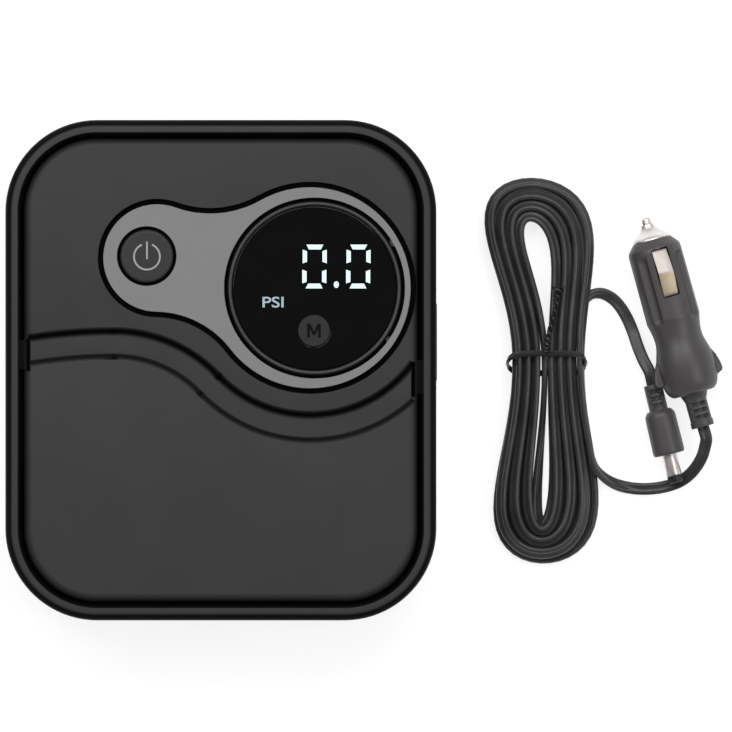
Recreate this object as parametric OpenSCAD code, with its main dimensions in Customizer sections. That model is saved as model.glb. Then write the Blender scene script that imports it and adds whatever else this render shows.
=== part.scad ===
// Portable tire inflator lying on its back on its rubber feet, with its 12 V power lead beside it.
// The origin is the centre of the pump's footprint on the surface it lies on. X runs across the pump,
// Y towards the display end and Z up, out of the front. All sizes are in millimetres.

/* [Pump body] */
// Width across the front
pump_w = 155; // [150:0.5:158]
// Length from end to end
pump_l = 180; // [176:0.5:186]
// Depth from the feet to the front face
pump_d = 52; // [52:0.1:52.5]
// Radius of the body's corners
corner_r = 33; // [31:0.5:35]
// Thickness of the side walls
wall = 2.4; // [2:0.1:2.8]
// Thickness of the front plate
plate_t = 3.4; // [3.2:0.1:3.6]
// Height of the line where the two covers meet
split_z = 24; // [23:0.5:25]
// Height of the rubber feet below the rear cover
foot_h = 1.5; // [1:0.1:2]

/* [Front relief] */
// Width of the raised rim round the front
rim_w = 4.4; // [4:0.1:4.8]
// How far the rim lies below the front face
rim_drop = 1.4; // [1:0.1:1.8]
// Depth of the channel inside the rim, below the front face
moat_depth = 5; // [4:0.1:5.2]
// Distance from the outline to the flat of the front face
flat_inset = 9.7; // [9.5:0.1:10]
// Radius of the front face's rounded edge
edge_r = 3.2; // [2.5:0.1:3.2]
// Distance between the two wave grooves
wave_band = 9; // [8:0.5:10]

/* [Display and buttons] */
// Radius of the display lens
lens_r = 29.3; // [28.8:0.1:29.3]
// Radius of the power button's cap
power_r = 9.4; // [9:0.1:9.5]
// Travel of the power button
power_travel = 0.6; // [0.3:0.1:0.6]
// Radius of the mode key
mode_r = 5.7; // [5.2:0.1:5.8]
// Travel of the mode key
mode_travel = 0.5; // [0.3:0.1:0.5]

/* [Compressor] */
// Module of the gear teeth
tooth_module = 0.8; // [0.8:0.1:0.8]
// Teeth on the motor's pinion
pinion_teeth = 12; // [12:1:12]
// Teeth on the crank gear
gear_teeth = 44; // [44:1:44]
// Radius of the cylinder's bore
bore_r = 11; // [10.5:0.1:11.2]
// Stroke of the piston
stroke = 14; // [12:1:14]
// Distance between the connecting rod's two bearings
rod_l = 42; // [41:0.5:42]
// Radius of the motor's can
motor_r = 17.9; // [17.5:0.1:18]

/* [Power lead] */
// Radius of the 5.5 mm barrel of the pump-end plug
barrel_r = 2.75; // [2.7:0.05:2.8]
// Radius of the car plug where it enters the socket
car_plug_r = 9.7; // [9.5:0.1:9.8]
// Width of the flat twin cord
cord_w = 4.4; // [4.2:0.1:4.4]
// Thickness of the flat twin cord
cord_t = 2.4; // [2.2:0.1:2.4]
// Loops in the hank
loops = 7; // [7:1:7]
// Step from loop to loop at the hank's waist
waist_step = 3.3; // [3.3:0.05:3.4]
// Step from loop to loop in the hank's upper lobe
lobe_step = 3.8; // [3.8:0.05:3.9]
// Step from loop to loop in its lower lobe, where the inner loops are drawn together
low_lobe_step = 4.7; // [3.8:0.05:4.8]

/* [Hidden] */
$fn = 64;
eps = 0.5; // how far a cutting shape runs past the face it cuts

// Colours
case_grey = [0.25, 0.25, 0.26];
bezel_grey = [0.52, 0.52, 0.52];
glass_black = [0.06, 0.06, 0.06];
cord_black = [0.16, 0.16, 0.17];
plug_grey = [0.32, 0.31, 0.32];
rubber_black = [0.1, 0.1, 0.1];

// Levels of the pump
rear_z = foot_h;                       // underside of the rear cover
floor_z = rear_z + wall;               // inside of the rear cover's floor
rim_z = pump_d - rim_drop;
moat_z = pump_d - moat_depth;
plate_z = pump_d - plate_t;            // inside of the front plate
ledge_z = moat_z - wall;               // inside, under the channel
rear_edge_r = 5;
inner_inset = flat_inset - 0.7;        // how far the pocket under the front plate is drawn in

// Front layout
lens_c = [33.7, 29.5];
power_c = [-26.6, 41];
mode_c = [33.5, 14.2];
bezel_big_c = [32.1, 29.6];
bezel_big_r = 36.1;
bezel_small_c = [-22.9, 40.3];
bezel_small_r = 19.3;
bezel_top_fillet = 37.1;
bezel_low_fillet = 34.3;
bezel_groove = 2;
bezel_recess = 2;
bezel_t = 2.5;
bezel_z = pump_d - bezel_recess;
bezel_top = bezel_z + bezel_t;
ring_r = 31.6;
ring_top = bezel_top + 0.6;
lens_t = 2.4;
power_hole_r = 10.7;
peg_r = 1.5;
peg_places = [[-38, 48], [-12, 31], [-3, 47], [62, 46], [60.8, 10.8], [7.6, 5.6]];

// The wave: three arcs that run into each other, each drawn twice, a band's width apart
wave_a = bezel_big_c;
wave_a_r = 45.8;                       // upper groove round the display
wave_b_r = 51.6;                       // upper groove over the hump
wave_c_r = 194.7;                      // upper groove out to the left edge
wave_turn = 223.7;                     // direction from the display to the hump's centre
wave_b = wave_a + (wave_a_r + wave_b_r) * [cos(wave_turn), sin(wave_turn)];
wave_c = wave_b + [0, wave_b_r - wave_c_r];
groove_x = pump_w / 2 - 8.3;           // the short upright grooves that end the wave band
tab_left_y = [0.3, 10.9];
tab_right_y = [-8.5, 3.6];

// Fastenings of the housing
boss_places = [for (x = [-66, 66], y = [-60, 60]) [x, y]];
boss_r = 4;
screw_seat_z = 14;
screw_r = 1.5;
foot_places = [for (x = [-55, 55], y = [-68, 68]) [x, y]];
foot_r = 7;
foot_sink = 0.8;

// Board and what is on it
board_z = 42;
board_t = 1.6;
board_x = [-44, 60];
board_y = [2, 60];
board_posts = [[-38, 8], [-38, 54], [55, 54], [55, 8]];
switch_h = 1.8;
switch_floor = 0.15;
plunger_r = 1.6;
led_x = [12, 57];
led_y = [21.8, 48];
sensor_c = [46, 5];

// Ports in the right side
port_y = 10;
port_z = 26;
port_w = 27.8;
port_h = 30;
port_proud = 0.25;
port_face = pump_w / 2 + port_proud;
jack_y = 16.5;
outlet_y = 3;
jack_bore_r = 2.85;
outlet_bore_r = 3.5;
outlet_bore_l = 10;

// Drive line
motor_x = -38;
drive_z = 26;
motor_back = -72;
motor_front = -20;
pitch_pinion = tooth_module * pinion_teeth / 2;
pitch_gear = tooth_module * gear_teeth / 2;
gear_x = motor_x + pitch_pinion + pitch_gear;
gear_y = [-16.8, -10];
rod_y = -3.4;                          // plane of the rod and the cylinder's axis
rod_t = 6;
crank_x = gear_x - stroke / 2;
wrist_x = crank_x + rod_l;
cylinder_x = [10, 41.5];
head_x = 43.1;
head_t = 8.4;
head_w = 29;
shaft_r = 1.6;
run_gap = 0.05;                        // running clearance on the radius

// Places of the two plugs on the surface
dc_end = [156, -5.2];                // cord end of the pump-end plug
dc_turn = -76.5;
dc_z = 5.8;
car_tip = [153.3, 55.2];
car_turn = -74.6;
car_roll = -10;
car_z = 10.7;
car_relief_end = 78.5;

// Hank of the cord
hank_c = [117.6, 3.7];
waist_half = 12.2;
lobe_half = 18.4;
reach_top = 65;
reach_low = 73;
reach_step = 4;
lobe_flat = 50;                        // angle at which a lobe is widest
start_angle = 9;
end_angle = -21;
layer_step = cord_w + 0.6;
climb_turn = 2 / 24;
waist_lift = 1.3;
lift_run = 28;                         // how far from the waist the tie still lifts the cord
lean_top = -6;
lean_low = -1.5;
ring_count = 24;

// ---------------------------------------------------------------- shapes used more than once

// The pump's outline, drawn in by inset
module outline(inset = 0) {
    r = corner_r - inset;
    size = [pump_w - 2 * inset, pump_l - 2 * inset];
    rounded(size, r);
}

// Rectangle with round corners, centred
module rounded(size, r) {
    square([size[0], size[1] - 2 * r], center = true);
    square([size[0] - 2 * r, size[1]], center = true);
    for (x = [-1, 1], y = [-1, 1])
        translate([x * (size[0] / 2 - r), y * (size[1] / 2 - r)]) circle(r);
}

// Slot with round ends along Y, centred
module slot(length, width) {
    square([width, length - width], center = true);
    for (y = [-1, 1]) translate([0, y * (length - width) / 2]) circle(width / 2);
}

// Runs a section once round the outline: x is the distance in from the outline, y the height
module round_outline() {
    for (side = [0, 1]) mirror([side, 0, 0]) translate([pump_w / 2, 0, 0])
        rotate([90, 0, 0]) linear_extrude(pump_l - 2 * corner_r, center = true)
            mirror([1, 0]) children();
    for (side = [0, 1]) mirror([0, side, 0]) translate([0, pump_l / 2, 0])
        rotate([90, 0, 90]) linear_extrude(pump_w - 2 * corner_r, center = true)
            mirror([1, 0]) children();
    for (x = [0, 1], y = [0, 1]) mirror([x, 0, 0]) mirror([0, y, 0])
        translate([pump_w / 2 - corner_r, pump_l / 2 - corner_r, 0])
            rotate_extrude(angle = 90) translate([corner_r, 0]) mirror([1, 0]) children();
}

// Cylinder along X or along Y that starts at the place given
module rod_x(at, r, length) { translate(at) rotate([0, 90, 0]) cylinder(h = length, r = r); }
module rod_y(at, r, length) { translate(at) rotate([-90, 0, 0]) cylinder(h = length, r = r); }

// Revolves an outline of [place along the axis, radius] about the X axis
module turned_x(points) {
    rotate([0, 90, 0]) rotate_extrude() polygon([for (p = points) [p[1], p[0]]]);
}

// Pan-head screw with its head at the bottom and its shank upwards
module screw(shank_r, shank_l, head_r, head_h) {
    cylinder(h = head_h, r = head_r);
    translate([0, 0, head_h]) cylinder(h = shank_l, r = shank_r);
}

// Centre of the arc of radius r that rolls into two circles, on the left of the way from a to b
function fillet_centre(a, ra, b, rb, r) =
    let (d = norm(b - a), da = ra + r, db = rb + r,
         along = (d * d + da * da - db * db) / (2 * d),
         aside = sqrt(da * da - along * along),
         u = (b - a) / d)
    a + along * u + aside * [-u[1], u[0]];

// Bezel outline: two round lobes and the necked strip between them, grown by grow
module bezel_outline(grow = 0) {
    top = fillet_centre(bezel_small_c, bezel_small_r, bezel_big_c, bezel_big_r, bezel_top_fillet);
    low = fillet_centre(bezel_big_c, bezel_big_r, bezel_small_c, bezel_small_r, bezel_low_fillet);
    translate(bezel_big_c) circle(bezel_big_r + grow);
    translate(bezel_small_c) circle(bezel_small_r + grow);
    difference() {
        polygon([bezel_small_c, low, bezel_big_c, top]);
        translate(top) circle(bezel_top_fillet - grow);
        translate(low) circle(bezel_low_fillet - grow);
    }
}

// One groove along an arc, cut into the front face
module arc_groove(centre, r, from, to, half_top, half_low, depth) {
    translate([centre[0], centre[1], pump_d]) rotate([0, 0, from])
        rotate_extrude(angle = to - from, $fn = 180) translate([r, 0])
            polygon([[-half_low, -depth], [half_low, -depth], [half_top, 0],
                     [half_top, 1], [-half_top, 1], [-half_top, 0]]);
}

// A whole wave groove, shift further out from the display
module wave_groove(shift, half_top, half_low, depth) {
    a_r = wave_a_r + shift;
    b_r = wave_b_r - shift;
    c_r = wave_c_r - shift;
    right = 360 - acos((groove_x - wave_a[0]) / a_r);
    left = acos((-groove_x - wave_c[0]) / c_r);
    arc_groove(wave_a, a_r, wave_turn, right, half_top, half_low, depth);
    arc_groove(wave_b, b_r, wave_turn - 180, 90, half_top, half_low, depth);
    arc_groove(wave_c, c_r, 90, left, half_top, half_low, depth);
}

// ---------------------------------------------------------------- housing

// What is cut away to leave the rim, the channel inside it and the front's rounded edge
module front_edge_section() {
    difference() {
        translate([-1, moat_z]) square([flat_inset + 1, moat_depth + 1]);
        translate([edge_r, rim_z - edge_r]) circle(edge_r);
        translate([0, moat_z - 1]) square([edge_r, rim_z - edge_r - moat_z + 1]);
        translate([edge_r, moat_z - 1]) square([rim_w - edge_r, rim_z - moat_z + 1]);
        translate([flat_inset, pump_d - edge_r]) circle(edge_r);
        translate([flat_inset - edge_r, moat_z - 1]) square([edge_r + 1, moat_depth + 1 - edge_r]);
    }
}

// The round of the rear edge, cut from a square corner
module rear_edge_section() {
    difference() {
        translate([-1, rear_z - 1]) square(rear_edge_r + 1);
        translate([rear_edge_r, rear_z + rear_edge_r]) circle(rear_edge_r);
    }
}

// Opening in the side wall for the port panel
module port_opening(w, h, r, from_x, to_x) {
    translate([from_x, port_y, port_z]) rotate([90, 0, 90]) linear_extrude(to_x - from_x) rounded([w, h], r);
}

module rear_cover() {
    slot_w = 2.6;
    color(case_grey) difference() {
        union() {
            difference() {
                translate([0, 0, rear_z]) linear_extrude(split_z - rear_z) outline();
                translate([0, 0, floor_z]) linear_extrude(split_z) outline(wall);
                round_outline() rear_edge_section();
                // shadow line along the joint
                round_outline() translate([-1, split_z - 0.5]) square([1.6, 1]);
            }
            for (p = boss_places) translate([p[0], p[1], rear_z + 1]) cylinder(h = split_z - rear_z - 1, r = boss_r);
            motor_saddle(-62);
            motor_saddle(-34);
            cylinder_saddle(15);
            cylinder_saddle(31);
            // channel that holds the foot of the gear frame
            for (y = [-22.3, -17.7]) translate([-50, y, floor_z - eps]) cube([52, 2, 3.2 + eps]);
        }
        for (p = boss_places) translate([p[0], p[1], rear_z - eps]) {
            cylinder(h = screw_seat_z - rear_z + eps, r = 3.3);
            cylinder(h = split_z, r = screw_r + 0.2);
        }
        for (p = foot_places) translate([p[0], p[1], rear_z - eps]) cylinder(h = foot_sink + eps, r = foot_r + 0.1);
        // vents under the motor and the cylinder, and in the bottom end behind the fan
        for (i = [-3:3]) translate([motor_x + 6 * i, -48, 0]) linear_extrude(floor_z + 1) slot(20, slot_w);
        for (i = [-3:3]) translate([30 + 6 * i, -34, 0]) linear_extrude(floor_z + 1) slot(26, slot_w);
        for (i = [-4:4]) translate([motor_x + 3.5 * i, -pump_l / 2 - 1, 14])
            rotate([-90, 0, 0]) linear_extrude(wall + 3) slot(11, 1.8);
        port_opening(port_w, port_h, 3, pump_w / 2 - wall - 1, pump_w / 2 + 1);
    }
}

// Rib across the floor with a round seat for the motor
module motor_saddle(y) {
    difference() {
        translate([motor_x - 14, y, floor_z - eps]) cube([28, 2.4, 10]);
        rod_y([motor_x, y - 1, drive_z], motor_r + 0.1, 5);
    }
}

// Rib across the floor with a round seat for the cylinder's fins
module cylinder_saddle(x) {
    difference() {
        translate([x, rod_y - 10, floor_z - eps]) cube([4, 20, 12]);
        rod_x([x - 1, rod_y, drive_z], 14.6, 6);
    }
}

module front_cover() {
    color(case_grey) difference() {
        union() {
            difference() {
                translate([0, 0, split_z]) linear_extrude(pump_d - split_z) outline();
                translate([0, 0, split_z - 1]) linear_extrude(ledge_z - split_z + 1) outline(wall);
                linear_extrude(plate_z) outline(inner_inset);
                round_outline() front_edge_section();
                round_outline() translate([-1, split_z - 0.5]) square([1.6, 1]);
            }
            for (p = boss_places) translate([p[0], p[1], split_z]) cylinder(h = ledge_z + 1 - split_z, r = boss_r);
            for (p = board_posts) translate([p[0], p[1], board_z + board_t])
                cylinder(h = plate_z - board_z - board_t + eps, r = 3);
            bridge_tab(-1, tab_left_y);
            bridge_tab(1, tab_right_y);
        }
        wave_groove(0, 1.6, 0.25, 2.3);
        wave_groove(wave_band, 1.15, 0.2, 1.5);
        end_groove(-1, [tab_left_y[0] - 0.6, tab_left_y[1] + 0.4]);
        end_groove(1, [tab_right_y[0] - 1.2, tab_right_y[1] - 0.6]);
        translate([0, 0, bezel_z]) linear_extrude(bezel_recess + 1) bezel_outline(bezel_groove);
        translate([lens_c[0], lens_c[1], plate_z - 1]) cylinder(h = plate_t + 2, r = lens_r - 1.8);
        translate([power_c[0], power_c[1], plate_z - 1]) cylinder(h = plate_t + 2, r = power_r + 0.35);
        for (p = peg_places) translate([p[0], p[1], plate_z - 1]) cylinder(h = plate_t + 2, r = peg_r + 0.1);
        for (p = boss_places) translate([p[0], p[1], split_z - 1]) cylinder(h = 14, r = screw_r + run_gap);
        for (p = board_posts) translate([p[0], p[1], board_z]) cylinder(h = 6.2, r = 1.2 + run_gap);
        port_opening(port_w, port_h, 3, pump_w / 2 - wall - 1, pump_w / 2 + 1);
    }
}

// Tab that carries the wave band across the channel to the rim
module bridge_tab(side, y) {
    inner = pump_w / 2 - 8;
    outer = pump_w / 2 - rim_w + 0.4;
    mirror([side < 0 ? 1 : 0, 0, 0]) translate([inner, y[0], moat_z - 1])
        cube([outer - inner, y[1] - y[0], rim_z - moat_z + 1]);
}

// Upright groove between a tab and the wave band
module end_groove(side, y) {
    mirror([side < 0 ? 1 : 0, 0, 0]) translate([groove_x, y[1], pump_d]) rotate([90, 0, 0])
        linear_extrude(y[1] - y[0]) polygon([[-0.3, -2.6], [0.3, -2.6], [1.1, 1], [-1.1, 1]]);
}

module housing_screws() {
    color("silver") for (p = boss_places) translate([p[0], p[1], screw_seat_z - 2]) screw(screw_r, 20, 2.8, 2);
}

module rubber_feet() {
    color(rubber_black) for (p = foot_places) translate([p[0], p[1], 0]) {
        cylinder(h = 0.6, r1 = foot_r - 0.6, r2 = foot_r);
        translate([0, 0, 0.6]) cylinder(h = foot_h + foot_sink - 0.6, r = foot_r);
    }
}

// ---------------------------------------------------------------- display and buttons

module bezel() {
    color(bezel_grey) difference() {
        union() {
            translate([0, 0, bezel_z]) linear_extrude(bezel_t) bezel_outline();
            for (p = peg_places) translate([p[0], p[1], plate_z + 0.2]) cylinder(h = bezel_recess + 1, r = peg_r);
        }
        translate([lens_c[0], lens_c[1], bezel_z - 1]) cylinder(h = bezel_t + 2, r = ring_r + 0.9);
        translate([power_c[0], power_c[1], bezel_z - 1]) cylinder(h = bezel_t + 2, r = power_hole_r);
    }
}

module display_ring() {
    inner = lens_r + 0.1;
    crest = (ring_r - inner) / 2;
    color([0.2, 0.2, 0.2]) translate([lens_c[0], lens_c[1], 0]) rotate_extrude() {
        translate([inner, bezel_z]) square([ring_r - inner, ring_top - crest - bezel_z]);
        translate([inner + crest, ring_top - crest]) circle(crest);
    }
}

module display_lens() {
    color(glass_black) difference() {
        translate([lens_c[0], lens_c[1], bezel_z]) cylinder(h = lens_t, r = lens_r);
        translate([mode_c[0], mode_c[1], bezel_z - 1]) cylinder(h = lens_t + 2, r = mode_r + 0.3);
    }
}

// Round key: a cap with a rounded edge on a wider flange that keeps it in
module key(cap_r, flange_r, flange_z, cap_top, round) {
    rotate_extrude() {
        difference() {
            union() {
                translate([0, flange_z]) square([flange_r, 1.5]);
                translate([0, flange_z]) square([cap_r, cap_top - flange_z]);
            }
            translate([cap_r - round, cap_top - round]) difference() {
                square(round + 1);
                circle(round);
            }
        }
    }
}

power_flange_z = plate_z - 1.8;
mode_flange_z = bezel_z - 1.8;

module power_button() {
    color([0.3, 0.3, 0.3]) translate([power_c[0], power_c[1], 0])
        key(power_r, power_r + 1.8, power_flange_z, bezel_top + 0.6, 0.9);
}

module mode_button() {
    color([0.2, 0.2, 0.2]) translate([mode_c[0], mode_c[1], 0])
        key(mode_r, mode_r + 1.1, mode_flange_z, bezel_z + lens_t + 0.2, 0.3);
}

// Pin of a switch under a key; it goes down with the key by travel
module plunger(place, top, travel) {
    bottom = board_z + board_t + switch_floor + travel + 0.15;
    translate([place[0], place[1], bottom]) cylinder(h = top - bottom, r = plunger_r);
}

module power_plunger() { color("ivory") plunger(power_c, power_flange_z, power_travel); }
module mode_plunger() { color("ivory") plunger(mode_c, mode_flange_z, mode_travel); }

module button_switches() {
    color("dimgray") for (place = [power_c, mode_c]) translate([place[0], place[1], board_z + board_t]) difference() {
        translate([-3, -3, 0]) cube([6, 6, switch_h]);
        translate([0, 0, switch_floor]) cylinder(h = switch_h, r = plunger_r + 0.1);
    }
}

module control_board() {
    color("darkgreen") difference() {
        translate([board_x[0], board_y[0], board_z])
            cube([board_x[1] - board_x[0], board_y[1] - board_y[0], board_t]);
        for (p = board_posts) translate([p[0], p[1], board_z - 1]) cylinder(h = board_t + 2, r = 1.4);
        translate([sensor_c[0], sensor_c[1], board_z - 1]) cylinder(h = board_t + 2, r = 1.5);
    }
}

module board_screws() {
    color("silver") for (p = board_posts) translate([p[0], p[1], board_z - 1.2]) screw(1.2, 6, 2.3, 1.2);
}

module led_display() {
    color("black") translate([led_x[0], led_y[0], board_z + board_t])
        cube([led_x[1] - led_x[0], led_y[1] - led_y[0], 4.4]);
}

// Pressure sensor; its nipple goes down through the board to the head
module pressure_sensor() {
    color("dimgray") translate([sensor_c[0], sensor_c[1], board_z + board_t]) difference() {
        union() {
            translate([-3.5, -3, 0]) cube([7, 6, 2.5]);
            translate([0, 0, -2.6]) cylinder(h = 3, r = 1.2);
        }
        translate([0, 0, -3]) cylinder(h = 4.5, r = 0.6);
    }
}

// ---------------------------------------------------------------- ports

module port_panel() {
    back = pump_w / 2 - wall - 1.8;
    flange = pump_w / 2 - wall - 0.2;
    color(case_grey) difference() {
        union() {
            port_opening(port_w - 0.2, port_h - 0.2, 2.9, flange - eps, port_face);
            port_opening(port_w + 3, port_h + 3, 4.4, back, flange);
        }
        rod_x([back - 1, jack_y, port_z], 4.2, 10);
        rod_x([back - 1, outlet_y, port_z], 5, 10);
    }
}

module dc_jack() {
    nose = pump_w / 2;
    color("black") difference() {
        union() {
            turned_x_at(jack_y, [[62, 0], [62, 5.6], [73.2, 5.6], [73.2, 4.1], [nose, 4.1], [nose, 0]]);
            // solder tabs
            for (z = [-2.6, 2.6]) translate([58, jack_y - 1, port_z + z - 0.3]) cube([4 + eps, 2, 0.6]);
        }
        rod_x([66, jack_y, port_z], jack_bore_r, 14);
        rod_x([64, jack_y, port_z], 1, 4);
    }
}

// Turned part on one of the port axes
module turned_x_at(y, points) { translate([0, y, port_z]) turned_x(points); }

module dc_jack_pin() {
    color("silver") turned_x_at(jack_y, [[64, 0], [64, 1], [75, 1], [75.6, 0.5], [75.6, 0]]);
}

module outlet_fitting() {
    mouth = pump_w / 2 + 0.1;
    color("gold") difference() {
        turned_x_at(outlet_y, [[56.6, 0], [56.6, 1.8], [58.2, 2.3], [58.2, 1.9], [59.8, 2.3], [59.8, 1.9],
                            [62, 1.9], [62, 6.4], [73.2, 6.4], [73.2, 4.9], [mouth, 4.9], [mouth, 0]]);
        rod_x([mouth - outlet_bore_l, outlet_y, port_z], outlet_bore_r, outlet_bore_l + 1);
        rod_x([55, outlet_y, port_z], 1.1, mouth - outlet_bore_l - 54);
    }
}

module air_tube() {
    color([0.75, 0.75, 0.72]) difference() {
        rod_x([head_x + head_t + 0.3, outlet_y, port_z], 3.6, 61.6 - head_x - head_t - 0.3);
        rod_x([head_x, outlet_y, port_z], 2.4, 25);
    }
}

// ---------------------------------------------------------------- motor and drive

module motor_can() {
    color("silver") difference() {
        rod_y([motor_x, motor_back, drive_z], motor_r, motor_front - motor_back);
        rod_y([motor_x, motor_back - 1, drive_z], motor_r - 1.4, motor_front - motor_back - 1);
        rod_y([motor_x, motor_front - 5, drive_z], shaft_r + run_gap, 10);
        // cooling windows in the front face
        for (a = [30:60:330]) translate([motor_x, motor_front, drive_z]) rotate([0, a, 0])
            translate([10, 0, 0]) rotate([90, 0, 0]) translate([0, 0, -1]) linear_extrude(5) slot(7, 3);
    }
}

// Two magnets against the inside of the can
module motor_magnets() {
    color("dimgray") for (side = [0, 180]) translate([motor_x, -64, drive_z]) rotate([0, side, 0])
        rotate([-90, 0, 0]) rotate([0, 0, -60]) rotate_extrude(angle = 120)
            translate([12.6, 0]) square([motor_r - 1.4 - 12.6, 34]);
}

module motor_end_cap() {
    color("white") difference() {
        union() {
            rod_y([motor_x, motor_back - 3, drive_z], motor_r, 3);
            rod_y([motor_x, motor_back - eps, drive_z], motor_r - 1.5, 2.5);
            for (x = [-11, 11]) translate([motor_x + x - 1.5, motor_back - 5.5, drive_z - 0.4]) cube([3, 3, 0.8]);
        }
        rod_y([motor_x, motor_back - 4, drive_z], shaft_r + run_gap, 10);
    }
}

module armature() {
    color("peru") difference() {
        union() {
            rod_y([motor_x, -62, drive_z], 5.5, 4.5);
            difference() {
                rod_y([motor_x, -57.5, drive_z], 12, 27);
                for (a = [0:72:288]) translate([motor_x, -58, drive_z]) rotate([0, a, 0])
                    translate([-0.9, 0, 7]) cube([1.8, 28, 6]);
            }
        }
        rod_y([motor_x, -63, drive_z], shaft_r, 40);
    }
}

module motor_shaft() {
    color("silver") rod_y([motor_x, -85.5, drive_z], shaft_r, 76.5);
}

// Involute gear outline, with the teeth thinned by backlash at the pitch circle
function involute(base, r) = let (t = sqrt(max(0, r * r / (base * base) - 1))) t * 180 / PI - atan(t);
function flank(pitch, base, half, r) = half - involute(base, max(r, base)) + involute(base, pitch);
module gear_outline(teeth, backlash) {
    pitch = tooth_module * teeth / 2;
    base = pitch * cos(20);
    tip = pitch + 0.8 * tooth_module;
    root = pitch - 1.15 * tooth_module;
    half = 90 / teeth - backlash / pitch * 90 / PI;
    radii = [root, max(root, base) + 0.05, pitch, tip];
    polygon([for (i = [0:teeth - 1])
        each concat([for (r = radii) let (a = 360 / teeth * i - flank(pitch, base, half, r)) r * [cos(a), sin(a)]],
                    [for (k = [3:-1:0]) let (r = radii[k], a = 360 / teeth * i + flank(pitch, base, half, r)) r * [cos(a), sin(a)]])
    ]);
}

// Gear blank along +Y whose tooth number 0 points along +X, turned by phase
module gear_at(x, y, teeth, thickness, phase) {
    translate([x, y, drive_z]) rotate([90, 0, 0]) rotate([0, 0, phase]) mirror([0, 0, 1])
        linear_extrude(thickness) gear_outline(teeth, 0.12);
}

module drive_pinion() {
    color("gold") difference() {
        gear_at(motor_x, gear_y[0], pinion_teeth, gear_y[1] - gear_y[0], 0);
        rod_y([motor_x, gear_y[0] - 1, drive_z], shaft_r, 10);
    }
}

module cooling_fan() {
    hub_r = 5;
    fan_r = 15;
    color("dimgray") difference() {
        union() {
            rod_y([motor_x, -84.5, drive_z], hub_r, 5);
            intersection() {
                for (a = [0:360 / 7:359]) translate([motor_x, -82, drive_z]) rotate([0, a, 0])
                    translate([hub_r + 4.6, 0, 0]) rotate([35, 0, 0]) cube([11, 0.9, 9], center = true);
                rod_y([motor_x, -84.5, drive_z], fan_r, 5);
            }
        }
        rod_y([motor_x, -86, drive_z], shaft_r, 8);
    }
}

// Bracket that carries the motor, the crank gear and the cylinder
module gear_frame() {
    wall_x = cylinder_x[0] - 4;
    color("gray") difference() {
        union() {
            translate([-57, motor_front, 7.4]) cube([67, 2, 33.1]);
            translate([wall_x, motor_front, 10]) cube([4, 32, 30.5]);
            // webs along the top and bottom edges
            translate([-20, motor_front + eps, 7.4]) cube([30, 2.4, 2.6]);
        }
        rod_y([motor_x, motor_front - 1, drive_z], 7, 5);
        for (z = [-10.5, 10.5]) rod_y([motor_x, motor_front - 1, drive_z + z], 1.6, 5);
        rod_y([gear_x, motor_front - 1, drive_z], 3 + run_gap, 5);
        rod_x([wall_x - 1, rod_y, drive_z], bore_r, 6);
    }
}

module gear_axle() {
    color("silver") union() {
        rod_y([gear_x, motor_front, drive_z], 3, 11.4);
        rod_y([gear_x, motor_front + 11.2, drive_z], 4, 0.8);
    }
}

// Large gear with its rim, web, weight pockets and the short crank pin
module crank_gear() {
    color("whitesmoke") difference() {
        union() {
            gear_at(gear_x, gear_y[0], gear_teeth, 6, 180 + 180 / gear_teeth);
            rod_y([gear_x, gear_y[0] + eps, drive_z], 6, 6.2);
            rod_y([crank_x, gear_y[0] + 2, drive_z], 4.6, 5.8);
            rod_y([crank_x, gear_y[0] + 2, drive_z], 2.5, rod_y - rod_t / 2 - 0.3 - gear_y[0] - 2);
        }
        rod_y([gear_x, gear_y[0] - 1, drive_z], 3 + run_gap, 12);
        // room for the head of the axle
        rod_y([gear_x, motor_front + 11, drive_z], 4.3, 5);
        for (a = [60:60:300]) translate([gear_x, gear_y[0] + 2, drive_z]) rotate([0, a, 0])
            rod_y([-11, 0, 0], 3.6, 6);
    }
}

module connecting_rod() {
    y = rod_y - rod_t / 2;
    color("silver") difference() {
        union() {
            rod_y([crank_x, y, drive_z], 5.4, rod_t);
            rod_y([wrist_x, y, drive_z], 4, rod_t);
            translate([crank_x, y + 0.6, drive_z - 2.4]) cube([rod_l, rod_t - 1.2, 4.8]);
        }
        rod_y([crank_x, y - 1, drive_z], 2.6, rod_t + 2);
        rod_y([wrist_x, y - 1, drive_z], 2 + run_gap, rod_t + 2);
        // flutes along both faces of the beam
        for (f = [y, y + rod_t - 1.3]) translate([crank_x + 7, f, drive_z - 1.2]) cube([rod_l - 13, 1.3, 2.4]);
    }
}

module wrist_pin() { color("silver") rod_y([wrist_x, rod_y - 8, drive_z], 2, 16); }

module piston() {
    back = wrist_x - 5;
    color("lightgray") difference() {
        rod_x([back, rod_y, drive_z], bore_r - 0.3, 13);
        translate([back - 1, rod_y - rod_t / 2 - 0.3, drive_z - 8.6]) cube([10.5, rod_t + 0.6, 17.2]);
        rod_y([wrist_x, rod_y - 12, drive_z], 2, 24);
        // groove for the seal
        difference() {
            rod_x([wrist_x + 4.6, rod_y, drive_z], bore_r + 1, 2);
            rod_x([wrist_x + 4.6, rod_y, drive_z], bore_r - 1.8, 2);
        }
    }
}

module piston_seal() {
    color(rubber_black) difference() {
        rod_x([wrist_x + 4.7, rod_y, drive_z], bore_r - run_gap, 1.8);
        rod_x([wrist_x + 4, rod_y, drive_z], bore_r - 1.7, 4);
    }
}

module cylinder_block() {
    length = cylinder_x[1] - cylinder_x[0];
    rod_x([cylinder_x[0], rod_y, drive_z], 12.6, length);
    for (x = [cylinder_x[0]:4.6:cylinder_x[1] - 6]) rod_x([x, rod_y, drive_z], 14.5, 2);
    rod_x([cylinder_x[1] - 3.5, rod_y, drive_z], 14.5, 3.5);
}

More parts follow.
